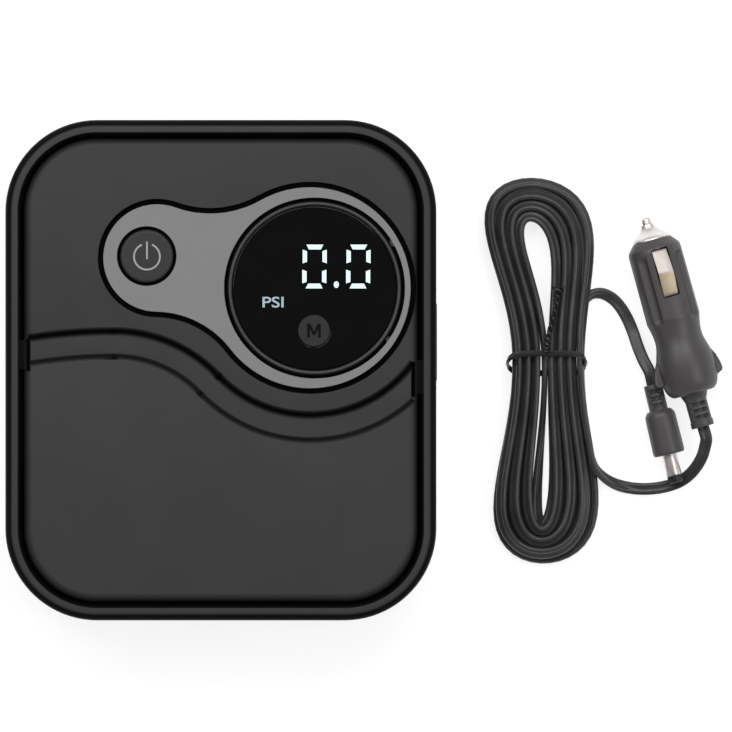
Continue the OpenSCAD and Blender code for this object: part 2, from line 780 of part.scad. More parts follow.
module pump_cylinder() {
    color("silver") difference() {
        cylinder_block();
        rod_x([cylinder_x[0] - 1, rod_y, drive_z], bore_r, cylinder_x[1] - cylinder_x[0] + 2);
    }
}

// Square plate across the cylinder's axis
module head_plate(x, thickness, side) {
    translate([x, rod_y, drive_z]) rotate([90, 0, 90]) linear_extrude(thickness) rounded([side, side], 4);
}

head_bolts = [for (y = [-1, 1], z = [-1, 1]) [rod_y + 11 * y, drive_z + 11 * z]];

module valve_plate() {
    color("goldenrod") difference() {
        head_plate(cylinder_x[1], head_x - cylinder_x[1], head_w);
        for (b = head_bolts) rod_x([cylinder_x[1] - 1, b[0], b[1]], 1.3, 4);
        rod_x([cylinder_x[1] - 1, rod_y, drive_z], 1.5, 4);
    }
}

module cylinder_head() {
    color("silver") difference() {
        union() {
            head_plate(head_x, head_t, head_w);
            turned_x_at(outlet_y, [[head_x + head_t - eps, 0], [head_x + head_t - eps, 1.9], [head_x + head_t + 2.4, 1.9],
                                [head_x + head_t + 2.4, 2.3], [head_x + head_t + 4, 1.8], [head_x + head_t + 4, 0]]);
        }
        rod_x([head_x - 1, rod_y, drive_z], 9, 5.5);
        rod_x([head_x, outlet_y, drive_z], 1.1, 20);
        for (b = head_bolts) rod_x([head_x - 1, b[0], b[1]], 1.3, head_t + 2);
    }
}

module head_screws() {
    color("dimgray") for (b = head_bolts) translate([head_x + head_t + 1.4, b[0], b[1]]) rotate([0, -90, 0])
        screw(1.25, head_t + head_x - cylinder_x[1], 2.3, 1.4);
}

// ---------------------------------------------------------------- plug for the pump

// Local X runs from the cord's end of the plug to the tip of its barrel
module dc_place() { translate([dc_end[0], dc_end[1], dc_z]) rotate([0, 0, dc_turn]) children(); }

dc_relief_l = 9.5;
dc_grip_l = 16.5;
dc_barrel_l = 10.5;
dc_grip_end = dc_relief_l + dc_grip_l;
dc_relief_r = 3.4;
dc_tail_r = 2.2;                       // end of the barrel that is moulded into the grip

module dc_strain_relief() {
    ribs = 3;
    color(plug_grey) dc_place() turned_x(concat([[0, 0], [0, dc_relief_r - 0.4], [0.6, dc_relief_r]],
            [for (i = [0:ribs - 1]) each [[1.9 + 2.6 * i, dc_relief_r], [1.9 + 2.6 * i, dc_relief_r - 0.6],
                                          [3.2 + 2.6 * i, dc_relief_r - 0.6], [3.2 + 2.6 * i, dc_relief_r]]],
            [[dc_relief_l, dc_relief_r], [dc_relief_l, 0]]));
}

module dc_plug_grip() {
    color(plug_grey) dc_place() difference() {
        turned_x([[dc_relief_l, 0], [dc_relief_l, 4.2], [dc_relief_l + 1.4, 5.4], [dc_relief_l + 3.5, 5.6],
                  [dc_grip_end - 0.8, 5.8], [dc_grip_end, 5.1], [dc_grip_end, 0]]);
        rod_x([dc_grip_end - 4, 0, 0], dc_tail_r, 5);
    }
}

module dc_plug_barrel() {
    color("silver") dc_place() difference() {
        union() {
            rod_x([dc_grip_end, 0, 0], barrel_r, dc_barrel_l);
            rod_x([dc_grip_end - 4, 0, 0], dc_tail_r, 5);
        }
        rod_x([dc_grip_end + 0.5, 0, 0], 2.3, dc_barrel_l);
    }
}

module dc_plug_insulator() {
    tip = dc_grip_end + dc_barrel_l;
    color("black") dc_place() difference() {
        rod_x([dc_grip_end + 0.5, 0, 0], 2.3, dc_barrel_l - 0.3);
        rod_x([dc_grip_end + 2, 0, 0], 1.05, dc_barrel_l);
    }
}

// ---------------------------------------------------------------- plug for the car

// Local X runs from the tip of the plug to its cord
module car_place() {
    translate([car_tip[0], car_tip[1], car_z]) rotate([0, 0, car_turn]) rotate([car_roll, 0, 0]) children();
}

car_body_end = 66;
window_x = [12, 30];
window_w = 6.4;
contact_crest = 0.75;
collar_x = 63.2;                       // floor of the recess that takes the strain relief's collar

// Outside of the plastic body
car_profile = [
    [8.6, 0], [8.6, 7.4], [9.4, 8.5], [13, car_plug_r], [38, car_plug_r + 0.1], [41, 9.1], [44, 8.7],
    [47, 8.9], [51, 10], [55, 10.5], [59, 10.4], [62, 10], [64.2, 9.2], [65.6, 8], [car_body_end, 7.2], [car_body_end, 0]
];

module car_body_shape() {
    difference() {
        union() {
            turned_x(car_profile);
            for (side = [0, 1]) mirror([0, side, 0]) car_ear();
        }
        // flutes beside the windows
        for (a = [45, 135, 225, 315]) rotate([a, 0, 0]) translate([14, 0, car_plug_r + 0.8])
            rotate([0, 90, 0]) cylinder(h = 25, r = 1.9);
        // windows of the two side contacts
        for (side = [0, 1]) mirror([0, 0, side])
            translate([window_x[0], -window_w / 2, 4]) cube([window_x[1] - window_x[0], window_w, 8]);
        // room for the fuse, the spring and the wires
        rod_x([8, 0, 0], 5.7, 6);
        rod_x([13, 0, 0], 3.6, 42);
        rod_x([50, 0, 0], 6, 11);
        rod_x([60, 0, 0], 4.05, 10);
        rod_x([collar_x, 0, 0], 6.4, 4);
    }
}

// Springy wing on the flank of the grip that holds the plug in its socket
module car_ear() {
    translate([0, 0, -1.8]) linear_extrude(3.6) polygon([
        [47, 8], [50, 9.4], [54, 11.4], [57, 12.3], [59.5, 12.6], [60.6, 12.1], [60.8, 11.2], [60, 8]
    ]);
}

module half_space(up) { translate([-5, -20, up > 0 ? 0 : -20]) cube([90, 40, 20]); }

module car_plug_upper() {
    color(plug_grey) car_place() difference() {
        intersection() {
            car_body_shape();
            half_space(1);
        }
        rod_z([46, 0, -1], 1.25, 7);
    }
}

module car_plug_lower() {
    color(plug_grey) car_place() difference() {
        intersection() {
            car_body_shape();
            half_space(-1);
        }
        rod_z([46, 0, -10], 1.6, 12);
        rod_z([46, 0, -10], 2.7, 3);
    }
}

// Cylinder along Z that starts at the place given
module rod_z(at, r, length) { translate(at) cylinder(h = length, r = r); }

module car_plug_screw() {
    color("silver") car_place() {
        rod_z([46, 0, -8.4], 2.5, 1.4);
        rod_z([46, 0, -7.2], 1.2, 3.4);
    }
}

module nose_cap() {
    color("silver") car_place() difference() {
        turned_x([[2.6, 0], [2.6, 2.3], [3.6, 2.7], [5, 3.9], [6.4, 5.6], [7.4, 6.6], [8.6, 7], [8.6, 5.6], [13, 5.6], [13, 0]]);
        rod_x([2, 0, 0], 1.8 + run_gap, 10);
        rod_x([5.2, 0, 0], 3.3, 9);
    }
}

module tip_contact() {
    color("silver") car_place() turned_x([[0, 0], [0, 0.9], [0.5, 1.5], [1.3, 1.8], [6, 1.8], [6, 3], [13.2, 3], [13.2, 0]]);
}

// Glass fuse with its two metal ends
module fuse() {
    color("lightcyan") car_place() turned_x([[13.2, 0], [13.2, 3.1], [18.5, 3.1], [18.5, 2.9], [37.9, 2.9], [37.9, 3.1], [43.2, 3.1], [43.2, 0]]);
}

module tip_spring() {
    turns = 5;
    steps = 12;
    length = 49.6 - 43.2 - 1;
    color("silver") car_place() sweep(
        [for (i = [0:turns * steps]) let (a = 360 / steps * i) [43.7 + length * i / (turns * steps), 2.5 * cos(a), 2.5 * sin(a)]],
        [for (i = [0:turns * steps]) [0.7, 0.7]], 6);
}

// Leaf contact, bent once, in the window of one side
module side_contact() {
    crest_r = car_plug_r + contact_crest;
    low_r = car_plug_r - 1.5;
    mid = (window_x[0] + window_x[1]) / 2;
    t = 0.5;
    rotate([90, 0, 0]) linear_extrude(window_w - 0.8, center = true) polygon([
        [window_x[0] + 0.5, low_r], [mid, crest_r], [window_x[1] - 0.5, low_r],
        [window_x[1] - 0.5, low_r - t], [mid, crest_r - t - 0.05], [window_x[0] + 0.5, low_r - t]
    ]);
}

module side_contact_upper() { color("silver") car_place() side_contact(); }
module side_contact_lower() { color("silver") car_place() mirror([0, 0, 1]) side_contact(); }

module car_strain_relief() {
    ribs = 3;
    end = car_relief_end;
    color(plug_grey) car_place() turned_x(concat(
        [[60.6, 0], [60.6, 4], [collar_x, 4], [collar_x, 5.9], [collar_x + 0.9, 5.9], [68.6, 4]],
        [for (i = [0:ribs - 1]) each [[69.4 + 2.4 * i, 3.9], [69.4 + 2.4 * i, 3.2], [70.6 + 2.4 * i, 3.2], [70.6 + 2.4 * i, 3.9]]],
        [[76.2, 3.9], [76.2, 4.2], [end, 4.2], [end, 0]]));
}

// ---------------------------------------------------------------- cord

// Section with its sides count and its top and bottom flat, 2 wide and 2 high
function section(sides) =
    let (first = sides % 4 == 0 ? 180 / sides : 0,
         ring = [for (k = [0:sides - 1]) [cos(first + 360 / sides * k), sin(first + 360 / sides * k)]],
         w = max([for (p = ring) p[0]]), h = max([for (p = ring) p[1]]))
    [for (p = ring) [p[0] / w, p[1] / h]];

// Direction of a path at ring i, and the level direction across it
function unit(v) = v / norm(v);
function heading(path, i) = unit(path[min(i + 1, len(path) - 1)] - path[max(i - 1, 0)]);
function across(dir) = unit([dir[1], -dir[0], 0]);

// Tube along a path, size[i] wide and high at ring i
module sweep(path, size, sides) {
    n = len(path);
    shape = section(sides);
    rings = [for (i = [0:n - 1]) let (dir = heading(path, i), x = across(dir), y = cross(x, dir))
        for (p = shape) path[i] + (x * size[i][0] * p[0] + y * size[i][1] * p[1]) / 2];
    walls = [for (i = [0:n - 2], k = [0:sides - 1])
        let (a = i * sides + k, b = i * sides + (k + 1) % sides)
        each [[a, b + sides, b], [a, a + sides, b + sides]]];
    last = (n - 1) * sides;
    caps = [for (k = [1:sides - 2]) each [[0, k, k + 1], [last, last + k + 1, last + k]]];
    polyhedron(rings, concat(walls, caps));
}

// Where the cord is after t turns of the hank. It winds in on the surface, climbs, and winds out again.
function hank_at(t) =
    let (a = start_angle - 360 * t,
         turns_in = t < loops / 2 ? t : loops - t,
         half = waist_half - waist_step * turns_in,
         top = sin(a) > 0,
         lobe = lobe_half - (top ? lobe_step : low_lobe_step) * turns_in,
         flare = (lobe / cos(lobe_flat) - half) / pow(sin(lobe_flat), 2),
         reach = (top ? reach_top : reach_low) - reach_step * turns_in,
         lean = (top ? lean_top : lean_low) * pow(sin(a), 2),
         climb = min(1, max(0, (t - loops / 2) / climb_turn + 0.5)),
         lift = waist_lift * pow(max(0, 1 - pow(reach * sin(a) / lift_run, 2)), 2))
    [hank_c[0] + lean + cos(a) * (half + flare * pow(sin(a), 2)),
     hank_c[1] + reach * sin(a),
     cord_w / 2 + layer_step * climb + lift];

hank_turns = loops + (start_angle - end_angle) / 360;
hank_rings = [for (i = [0:ring_count * hank_turns]) hank_at(i / ring_count)];
hank_start_dir = unit(hank_at(0) - hank_at(0.01));
hank_end_dir = unit(hank_at(hank_turns + 0.01) - hank_at(hank_turns));
hank_start = hank_rings[0] + cord_w * hank_start_dir;
hank_end = hank_rings[len(hank_rings) - 1] + cord_w * hank_end_dir;
hank_path = concat([hank_start], hank_rings, [hank_end]);

// Least gap between stretches of the hank that pass each other, measured on its points
function gap_to(p, a, b) =
    let (f = min(1, max(0, (p - a) * (b - a) / ((b - a) * (b - a)))), d = p - a - f * (b - a))
    max(norm([d[0], d[1]]) - cord_t, abs(d[2]) - cord_w);
least_gap = min([for (i = [0:len(hank_path) - 1], j = [0:len(hank_path) - 2])
    if (abs(i - j) > ring_count / 3) gap_to(hank_path[i], hank_path[j], hank_path[j + 1])]);
function length_of(path, i = 0) = i >= len(path) - 1 ? 0 : norm(path[i + 1] - path[i]) + length_of(path, i + 1);

// Route of the cord from the pump-end plug to the hank
dc_dir = [cos(dc_turn), sin(dc_turn), 0];
dc_route = concat(
    [[dc_end[0], dc_end[1], dc_z], [dc_end[0], dc_end[1], dc_z] - cord_w * dc_dir],
    [[152.6, 3.8, 4.8], [150.6, 8.8, 3], [149, 13.6, 1.7], [147, 18.4, 1.2], [144.4, 22.8, 1.2],
     [141.4, 26, 1.5], [137.6, 27.8, 1.8], [134, 27.4, 2.2], [131.8, 25.2, 2.7]],
    [hank_start + cord_w * hank_start_dir, hank_start]);

// Route of the cord from the hank to the car plug
car_dir = [cos(car_turn), sin(car_turn), 0];
car_end = [car_tip[0], car_tip[1], car_z] + car_relief_end * car_dir;
car_route = concat(
    [hank_end, hank_end + cord_w * hank_end_dir],
    [[135.4, -35.4, 6.4], [138.2, -38.6, 4.4], [142, -41, 2.6], [146.4, -42.4, 1.5], [151.2, -43, 1.2],
     [156.2, -42.9, 1.2], [161, -42.1, 1.2], [165.4, -40.6, 1.4], [169, -38.2, 2.4],
     [171.8, -35, 4.4], [173.9, -31.2, 7], [174.9, -27.6, 9.6]],
    [car_end + cord_w * car_dir, car_end]);

// The cord stands on edge in the hank and lies flat outside it, and turns over a few rings
on_edge = [cord_t, cord_w];
lying = [cord_w, cord_t];
turn_rings = 5;
function turned_size(from_hank) =
    let (f = min(1, max(0, (from_hank - 1) / turn_rings))) on_edge * (1 - f) + lying * f;

module cord_hank() { color(cord_black) sweep(hank_path, [for (p = hank_path) on_edge], 6); }

module cord_dc_stretch() {
    n = len(dc_route);
    color(cord_black) sweep(dc_route, [for (i = [0:n - 1]) turned_size(n - 1 - i)], 8);
}

module cord_car_stretch() {
    color(cord_black) sweep(car_route, [for (i = [0:len(car_route) - 1]) turned_size(i)], 8);
}

// Flat tie round the waist of the hank
module cord_tie() {
    low = 0.1;
    strip = 0.9;
    inner = [2 * waist_half + cord_t + 0.8, cord_w + layer_step + 0.7];
    outer = inner + 2 * [strip, strip];
    color(rubber_black) translate([hank_c[0], hank_c[1] + 2.6, low + outer[1] / 2]) rotate([90, 0, 0])
        linear_extrude(2.2) difference() {
            rounded(outer, 2.4);
            rounded(inner, 1.5);
        }
}

echo(least_gap = least_gap, hank_length = length_of(hank_path),
     cord_length = length_of(hank_path) + length_of(dc_route) + length_of(car_route));

rear_cover();
front_cover();
bezel();
display_ring();
display_lens();
power_button();
power_plunger();
mode_button();
mode_plunger();
button_switches();
control_board();
led_display();
pressure_sensor();
board_screws();
housing_screws();
rubber_feet();
port_panel();
dc_jack();
dc_jack_pin();
outlet_fitting();
air_tube();
motor_can();
motor_magnets();
motor_end_cap();
armature();
motor_shaft();
drive_pinion();
cooling_fan();
gear_frame();
gear_axle();
crank_gear();
connecting_rod();
wrist_pin();
piston();
piston_seal();
pump_cylinder();
valve_plate();
cylinder_head();
head_screws();
dc_plug_grip();
dc_plug_barrel();
dc_plug_insulator();
dc_strain_relief();
car_plug_upper();
car_plug_lower();
nose_cap();
tip_contact();
fuse();
tip_spring();
side_contact_upper();
side_contact_lower();
car_plug_screw();
car_strain_relief();
cord_dc_stretch();
cord_hank();
cord_car_stretch();
cord_tie();
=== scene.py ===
import math

import bmesh
import bpy
from mathutils import Matrix, Vector


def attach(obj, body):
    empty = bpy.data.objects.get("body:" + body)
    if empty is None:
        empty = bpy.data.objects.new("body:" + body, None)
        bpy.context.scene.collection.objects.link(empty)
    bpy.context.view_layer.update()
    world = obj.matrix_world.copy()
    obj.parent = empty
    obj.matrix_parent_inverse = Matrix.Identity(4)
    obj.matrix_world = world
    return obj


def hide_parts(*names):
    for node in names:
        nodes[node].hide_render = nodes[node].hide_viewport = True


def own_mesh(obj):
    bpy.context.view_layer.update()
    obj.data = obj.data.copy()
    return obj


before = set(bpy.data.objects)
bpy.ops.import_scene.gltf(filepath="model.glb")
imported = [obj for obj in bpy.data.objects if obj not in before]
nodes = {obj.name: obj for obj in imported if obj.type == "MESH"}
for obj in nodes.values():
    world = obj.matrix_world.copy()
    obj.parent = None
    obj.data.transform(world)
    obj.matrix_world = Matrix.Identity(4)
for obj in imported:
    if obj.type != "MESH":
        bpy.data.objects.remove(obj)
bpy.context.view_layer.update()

MM = 0.001
scene = bpy.context.scene


# ---- camera

def set_camera():
    """Straight down on the front, from far away, with 264 mm across the picture."""
    height = 6.0
    across = 0.264
    data = bpy.data.cameras.new("camera")
    data.sensor_width = 36
    data.lens = data.sensor_width * height / across
    data.clip_end = 40
    camera = bpy.data.objects.new("camera", data)
    camera.location = (0.0522, 0.0015, height + 0.03)
    scene.collection.objects.link(camera)
    scene.camera = camera


set_camera()


# ---- materials

class Nodes:
    """Short ways to add to a node tree."""

    def __init__(self, tree):
        self.tree = tree

    def link(self, source, target):
        self.tree.links.new(source, target)

    def node(self, kind, inputs=None, **settings):
        """Node with its settings, and its inputs given as values or as sockets to link from."""
        node = self.tree.nodes.new(kind)
        for key, value in settings.items():
            setattr(node, key, value)
        for key, value in (inputs or {}).items():
            if isinstance(value, bpy.types.NodeSocket):
                self.link(value, node.inputs[key])
            else:
                node.inputs[key].default_value = value
        return node

    def maths(self, operation, a, b=0.0):
        return self.node("ShaderNodeMath", {0: a, 1: b}, operation=operation).outputs[0]

    def times(self, a, b):
        return self.maths("MULTIPLY", a, b)

    def ranged(self, value, low, high, start=0.3, end=0.7):
        """value, from start to end, spread over low to high."""
        return self.node("ShaderNodeMapRange", {"Value": value, "From Min": start, "From Max": end,
                                                "To Min": low, "To Max": high}).outputs["Result"]

    def axes(self, place):
        return self.node("ShaderNodeSeparateXYZ", {0: place}).outputs

    def vector(self, x=0.0, y=0.0, z=0.0):
        return self.node("ShaderNodeCombineXYZ", {0: x, 1: y, 2: z}).outputs[0]

    def mixed(self, first, second, factor):
        """Colour from first to second, each a colour or a socket."""
        ends = [c if isinstance(c, bpy.types.NodeSocket) else (*c, 1) for c in (first, second)]
        return self.node("ShaderNodeMix", {0: factor, 6: ends[0], 7: ends[1]}, data_type="RGBA").outputs[2]


class Surface(Nodes):
    """One procedural material, built up from layers of grain and mottling in object space."""

    def __init__(self, name, rough, metallic=0.0, specular=0.5):
        self.material = bpy.data.materials.new(name)
        self.material.use_nodes = True
        super().__init__(self.material.node_tree)
        self.tree.nodes.clear()
        self.shader = self.node("ShaderNodeBsdfPrincipled", {
            "Roughness": rough, "Metallic": metallic, "Specular IOR Level": specular})
        self.node("ShaderNodeOutputMaterial", {"Surface": self.shader.outputs["BSDF"]})
        self.place = self.node("ShaderNodeTexCoord").outputs["Object"]

    def give(self, label, value):
        self.link(value, self.shader.inputs[label])

    def noise(self, size, detail=2.0, stretch=(1, 1, 1)):
        """Noise with grains of that size in metres, longer where stretch is below 1."""
        mapping = self.node("ShaderNodeMapping", {"Vector": self.place, "Scale": [s / size for s in stretch]})
        return self.node("ShaderNodeTexNoise", {"Vector": mapping.outputs["Vector"], "Scale": 1.0,
                                                "Detail": detail}).outputs["Fac"]

    def colour(self, dark, light, factor):
        self.give("Base Color", self.mixed(dark, light, factor))

    def mottled(self, colour, spread, factor):
        """The colour, darker and lighter by spread from place to place."""
        self.colour(tint(colour, 1 - spread), tint(colour, 1 + spread), self.ranged(factor, 0, 1))

    def roughness(self, factor, low, high):
        self.give("Roughness", self.ranged(factor, low, high))

    def bump(self, height, depth):
        """Raises the surface by depth metres where height is 1."""
        bump = self.node("ShaderNodeBump", {"Height": height, "Strength": 1.0, "Distance": depth})
        self.give("Normal", bump.outputs["Normal"])


def shade(level):
    """Linear value of a display value from 0 to 255."""
    v = level / 255
    return v / 12.92 if v <= 0.04045 else ((v + 0.055) / 1.055) ** 2.4


def grey(r, g=None, b=None):
    g = r if g is None else g
    b = r if b is None else b
    return (shade(r), shade(g), shade(b))


def tint(colour, factor):
    return tuple(min(1.0, c * factor) for c in colour)


def moulded(name, colour, rough, grain=0.00035, depth=0.000018, spread=0.05, specular=0.5):
    """Moulded plastic: spark-eroded grain, soft flow mottling and a slightly uneven sheen."""
    s = Surface(name, rough, specular=specular)
    fine = s.noise(grain)
    s.mottled(colour, spread, s.noise(0.022, 3.0))
    s.roughness(fine, rough - 0.05, rough + 0.05)
    s.bump(fine, depth)
    return s.material


def case_with_painted_shade():
    """Case plastic with a fine grain, and painted shade that darkens the channels of the front and the outer
    edge of the rim.
    """
    colour = grey(57)
    sheen = 0.18
    s = Surface("case_plastic_finish", 0.46, specular=sheen)
    fine = s.noise(0.00035)
    axes = s.axes(s.place)
    # how far out a point lies from the core of the case, which is a plain rectangle of 89 by 114 mm
    beyond = [s.maths("MAXIMUM", s.maths("SUBTRACT", s.maths("ABSOLUTE", axes[axis]), half), 0)
              for axis, half in (("X", 0.0445), ("Y", 0.057))]
    out = s.maths("SQRT", s.maths("ADD", *[s.times(d, d) for d in beyond]))
    # painted shade in the channel inside the rim, but not on the top of the raised panel, whose side fades
    # into it
    above = s.ranged(axes["Z"], 1, 0, 0.05, 0.0519)
    fade = s.ranged(out, 0, 0.95, 0.0232, 0.0264)
    channel_painted_shade = s.times(s.ranged(out, 1, 0, 0.0284, 0.0286), s.maths("MAXIMUM", above, fade))
    # painted shade on the outer edge of the rim, and only what is near the front
    edge = s.times(s.ranged(out, 0, 0.9, 0.0302, 0.0312), s.ranged(axes["Z"], 0, 1, 0.047, 0.0495))
    front = s.ranged(axes["Z"], 0, 1, 0.0455, 0.046)
    painted_shade = s.times(s.maths("MAXIMUM", channel_painted_shade, edge), front)
    lit = s.mixed(tint(colour, 0.96), tint(colour, 1.04), s.ranged(s.noise(0.022, 3.0), 0, 1))
    # where the painted shade falls, the colour goes nearly black and the sheen drops, as if no light reached
    # there
    s.colour(lit, tint(colour, 0.05), painted_shade)
    s.give("Specular IOR Level", s.ranged(painted_shade, sheen, 0.03))
    s.roughness(fine, 0.41, 0.51)
    s.bump(fine, 0.000016)
    return s.material


def gloss(name, colour, rough=0.06, spread=0.1):
    """Polished plastic or glass with faint handling haze."""
    s = Surface(name, rough)
    haze = s.noise(0.012, 4.0)
    s.mottled(colour, spread, haze)
    s.roughness(haze, rough * 0.7, rough * 1.8)
    s.bump(s.noise(0.006, 1.0), 0.000004)
    return s.material


def metal(name, colour, rough=0.25, stretch=(1, 1, 0.05), grain=0.0004, spread=0.08, depth=0.000004):
    """Plated, turned or brushed metal with fine marks along one way."""
    s = Surface(name, rough, metallic=1.0)
    marks = s.noise(grain, 2.0, stretch)
    s.mottled(colour, spread, s.noise(0.006))
    s.roughness(marks, rough * 0.75, rough * 1.35)
    s.bump(marks, depth)
    return s.material


def rubber(name, colour, rough=0.55, grain=0.0006, depth=0.00002):
    """Soft rubber or soft vinyl with a fine uneven skin."""
    s = Surface(name, rough, specular=0.4)
    skin = s.noise(grain, 3.0)
    s.colour(tint(colour, 0.88), tint(colour, 1.15), s.ranged(s.noise(0.009, 3.0), 0, 1))
    s.roughness(skin, rough - 0.08, rough + 0.08)
    s.bump(skin, depth)
    return s.material


def board_finish():
    """Green solder mask with faint copper traces under it."""
    s = Surface("board_finish", 0.35)
    tracks = s.node("ShaderNodeTexVoronoi", {"Vector": s.place, "Scale": 260}, feature="DISTANCE_TO_EDGE")
    edge = s.ranged(tracks.outputs["Distance"], 1, 0, 0.02, 0.1)
    s.colour((0.008, 0.07, 0.025), (0.03, 0.16, 0.06), edge)
    s.roughness(s.noise(0.003), 0.28, 0.42)
    s.bump(edge, 0.00002)
    return s.material


def winding_finish():
    """Copper wire wound on the iron of the armature."""
    s = Surface("winding_finish", 0.35, metallic=0.8)
    wave = s.node("ShaderNodeTexWave", {"Vector": s.place, "Scale": 320, "Distortion": 0.6},
                  bands_direction="Y")
    s.colour((0.28, 0.09, 0.04), (0.62, 0.28, 0.14), wave.outputs["Fac"])
    s.roughness(s.noise(0.001), 0.28, 0.42)
    s.bump(wave.outputs["Fac"], 0.00015)
    return s.material


def cord_finish():
    """Drawn vinyl sheath with a faint mottling and a soft sheen."""
    s = Surface("cord_finish", 0.35, specular=0.55)
    skin = s.noise(0.004)
    s.colour(grey(44, 43, 44), grey(60, 59, 61), s.ranged(s.noise(0.014, 3.0), 0, 1))
    s.roughness(skin, 0.3, 0.4)
    s.bump(skin, 0.000006)
    return s.material


def ring_finish():
    """Black plastic with a painted highlight: a grey line painted round its crest."""
    s = Surface("ring_finish", 0.35, specular=0.3)
    # painted highlight: grey only over the height of the crest
    s.colour(grey(12), grey(66), s.ranged(s.axes(s.place)["Z"], 0, 1, 0.05288, 0.05302))
    skin = s.noise(0.0007)
    s.roughness(skin, 0.3, 0.42)
    s.bump(skin, 0.000004)
    return s.material


def leaf_finish():
    """Plated spring strip, silvery on one half and brassy on the other, split at its crease."""
    crease, soft = -0.0093, 0.0002
    s = Surface("leaf_finish", 0.3, metallic=1.0)
    axes = s.axes(s.place)
    # how far along the plug a point lies: the factor is the cosine over the sine of the plug's turn
    along = s.maths("ADD", s.times(axes["X"], -0.2754), axes["Y"])
    s.colour((0.63, 0.58, 0.545), (0.76, 0.63, 0.46), s.ranged(along, 1, 0, crease - soft, crease + soft))
    marks = s.noise(0.0004, 2.0, (1, 0.05, 1))
    s.roughness(marks, 0.5, 0.62)
    s.bump(marks, 0.000003)
    return s.material


def glowing(name, colour, strength):
    """Lit display segment with a slightly uneven glow."""
    s = Surface(name, 0.4)
    glow = s.ranged(s.noise(0.002, 1.0), 0.92, 1.0)
    s.colour(tint(colour, 0.2), tint(colour, 0.25), glow)
    s.give("Emission Color", s.mixed(tint(colour, 0.85), colour, glow))
    s.shader.inputs["Emission Strength"].default_value = strength
    return s.material


CASE = case_with_painted_shade()
BEZEL = moulded("bezel_plastic_finish", grey(125), 0.42, grain=0.0003, depth=0.00001, spread=0.03)
KEY = moulded("key_plastic_finish", grey(52), 0.45, specular=0.25, grain=0.0003, depth=0.00001)
MODE_KEY = moulded("mode_key_finish", grey(46), 0.5, specular=0.2, grain=0.0003, depth=0.000008)
RING = ring_finish()
GLASS = gloss("lens_finish", grey(13), 0.05)
PLUG = moulded("plug_plastic_finish", grey(73, 70, 72), 0.42, grain=0.0005, depth=0.000015, spread=0.07)
CORD = cord_finish()
TIE = moulded("tie_finish", grey(26), 0.35, grain=0.0005, depth=0.00001)
NICKEL = metal("nickel_finish", (0.84, 0.8, 0.78), 0.4)
LEAF = leaf_finish()
STEEL = metal("zinc_steel_finish", (0.5, 0.5, 0.51), 0.32, stretch=(1, 0.1, 1))
BRASS = metal("brass_finish", (0.62, 0.43, 0.17), 0.25)
ALLOY = metal("cast_alloy_finish", (0.46, 0.46, 0.47), 0.45, stretch=(1, 1, 1), grain=0.0009, depth=0.00002)
MAGNET = metal("magnet_finish", (0.06, 0.06, 0.065), 0.5, stretch=(1, 1, 1), grain=0.0006, depth=0.00001)
RUBBER = rubber("rubber_finish", grey(34))
SILICONE = rubber("silicone_finish", grey(190, 190, 182), 0.35)
NYLON = moulded("nylon_finish", grey(216, 214, 204), 0.4)
DARK = moulded("dark_part_finish", grey(28), 0.45)
IVORY = moulded("ivory_part_finish", grey(205, 200, 182), 0.4)
BOARD = board_finish()
COPPER = winding_finish()
FUSE = gloss("fuse_finish", (0.55, 0.6, 0.6), 0.05)
LIT = glowing("lit_segment_finish", (0.72, 0.97, 0.95), 0.95)
UNIT = moulded("unit_mark_finish", grey(165, 192, 196), 0.4)
MARK = moulded("key_mark_finish", grey(160), 0.4)
DARK_MARK = moulded("mode_mark_finish", grey(10), 0.6, specular=0.1)


# ---- making meshes

def make_mesh(name, points, faces):
    mesh = bpy.data.meshes.new(name)
    mesh.from_pydata([tuple(p) for p in points], [], faces)
    return tidy_mesh(mesh)


def tidy_mesh(mesh):
    """Merges doubles and points every face outwards."""
    bm = bmesh.new()
    bm.from_mesh(mesh)
    bmesh.ops.remove_doubles(bm, verts=bm.verts, dist=1e-7)
    bmesh.ops.recalc_face_normals(bm, faces=bm.faces)
    bm.to_mesh(mesh)
    bm.free()
    return mesh


def add_object(name, mesh):
    obj = bpy.data.objects.new(name, mesh)
    scene.collection.objects.link(obj)
    return obj


def settle(obj, name):
    """What obj is with its modifiers applied, as a mesh called name; obj goes."""
    graph = bpy.context.evaluated_depsgraph_get()
    graph.update()
    mesh = bpy.data.meshes.new_from_object(obj.evaluated_get(graph))
    bpy.data.objects.remove(obj)
    mesh.name = name
    return mesh


def add_piece(name, mesh, body, material, replaced=(), sharp=35):
    """Shows a mesh as a finished piece that rides on a body, in place of the replaced nodes."""
    mesh.materials.clear()
    mesh.materials.append(material)
    for polygon in mesh.polygons:
        polygon.use_smooth = True
        polygon.material_index = 0
    mesh.set_sharp_from_angle(angle=math.radians(sharp))
    obj = add_object(name, mesh)
    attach(obj, body)
    if replaced:
        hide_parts(*replaced)
    return obj


def curved(points, count):
    """Smooth line through the points, count steps from each to the next."""
    pts = [Vector(p) for p in points]
    line = []
    for i in range(len(pts) - 1):
        before = pts[max(i - 1, 0)]
        a, b = pts[i], pts[i + 1]
        after = pts[min(i + 2, len(pts) - 1)]
        span = (b - a).length
        ta = (b - before) * (span / max(1e-9, (b - a).length + (a - before).length))
        tb = (after - a) * (span / max(1e-9, (after - b).length + (b - a).length))
        for k in range(count):
            t = k / count
            h1, h2 = 2 * t**3 - 3 * t**2 + 1, t**3 - 2 * t**2 + t
            h3, h4 = -2 * t**3 + 3 * t**2, t**3 - t**2
            line.append(a * h1 + ta * h2 + b * h3 + tb * h4)
    line.append(pts[-1])
    return line


def smooth(value, low, high):
    """0 below low, 1 above high and a soft S between them."""
    t = min(1, max(0, (value - low) / (high - low)))
    return t * t * (3 - 2 * t)


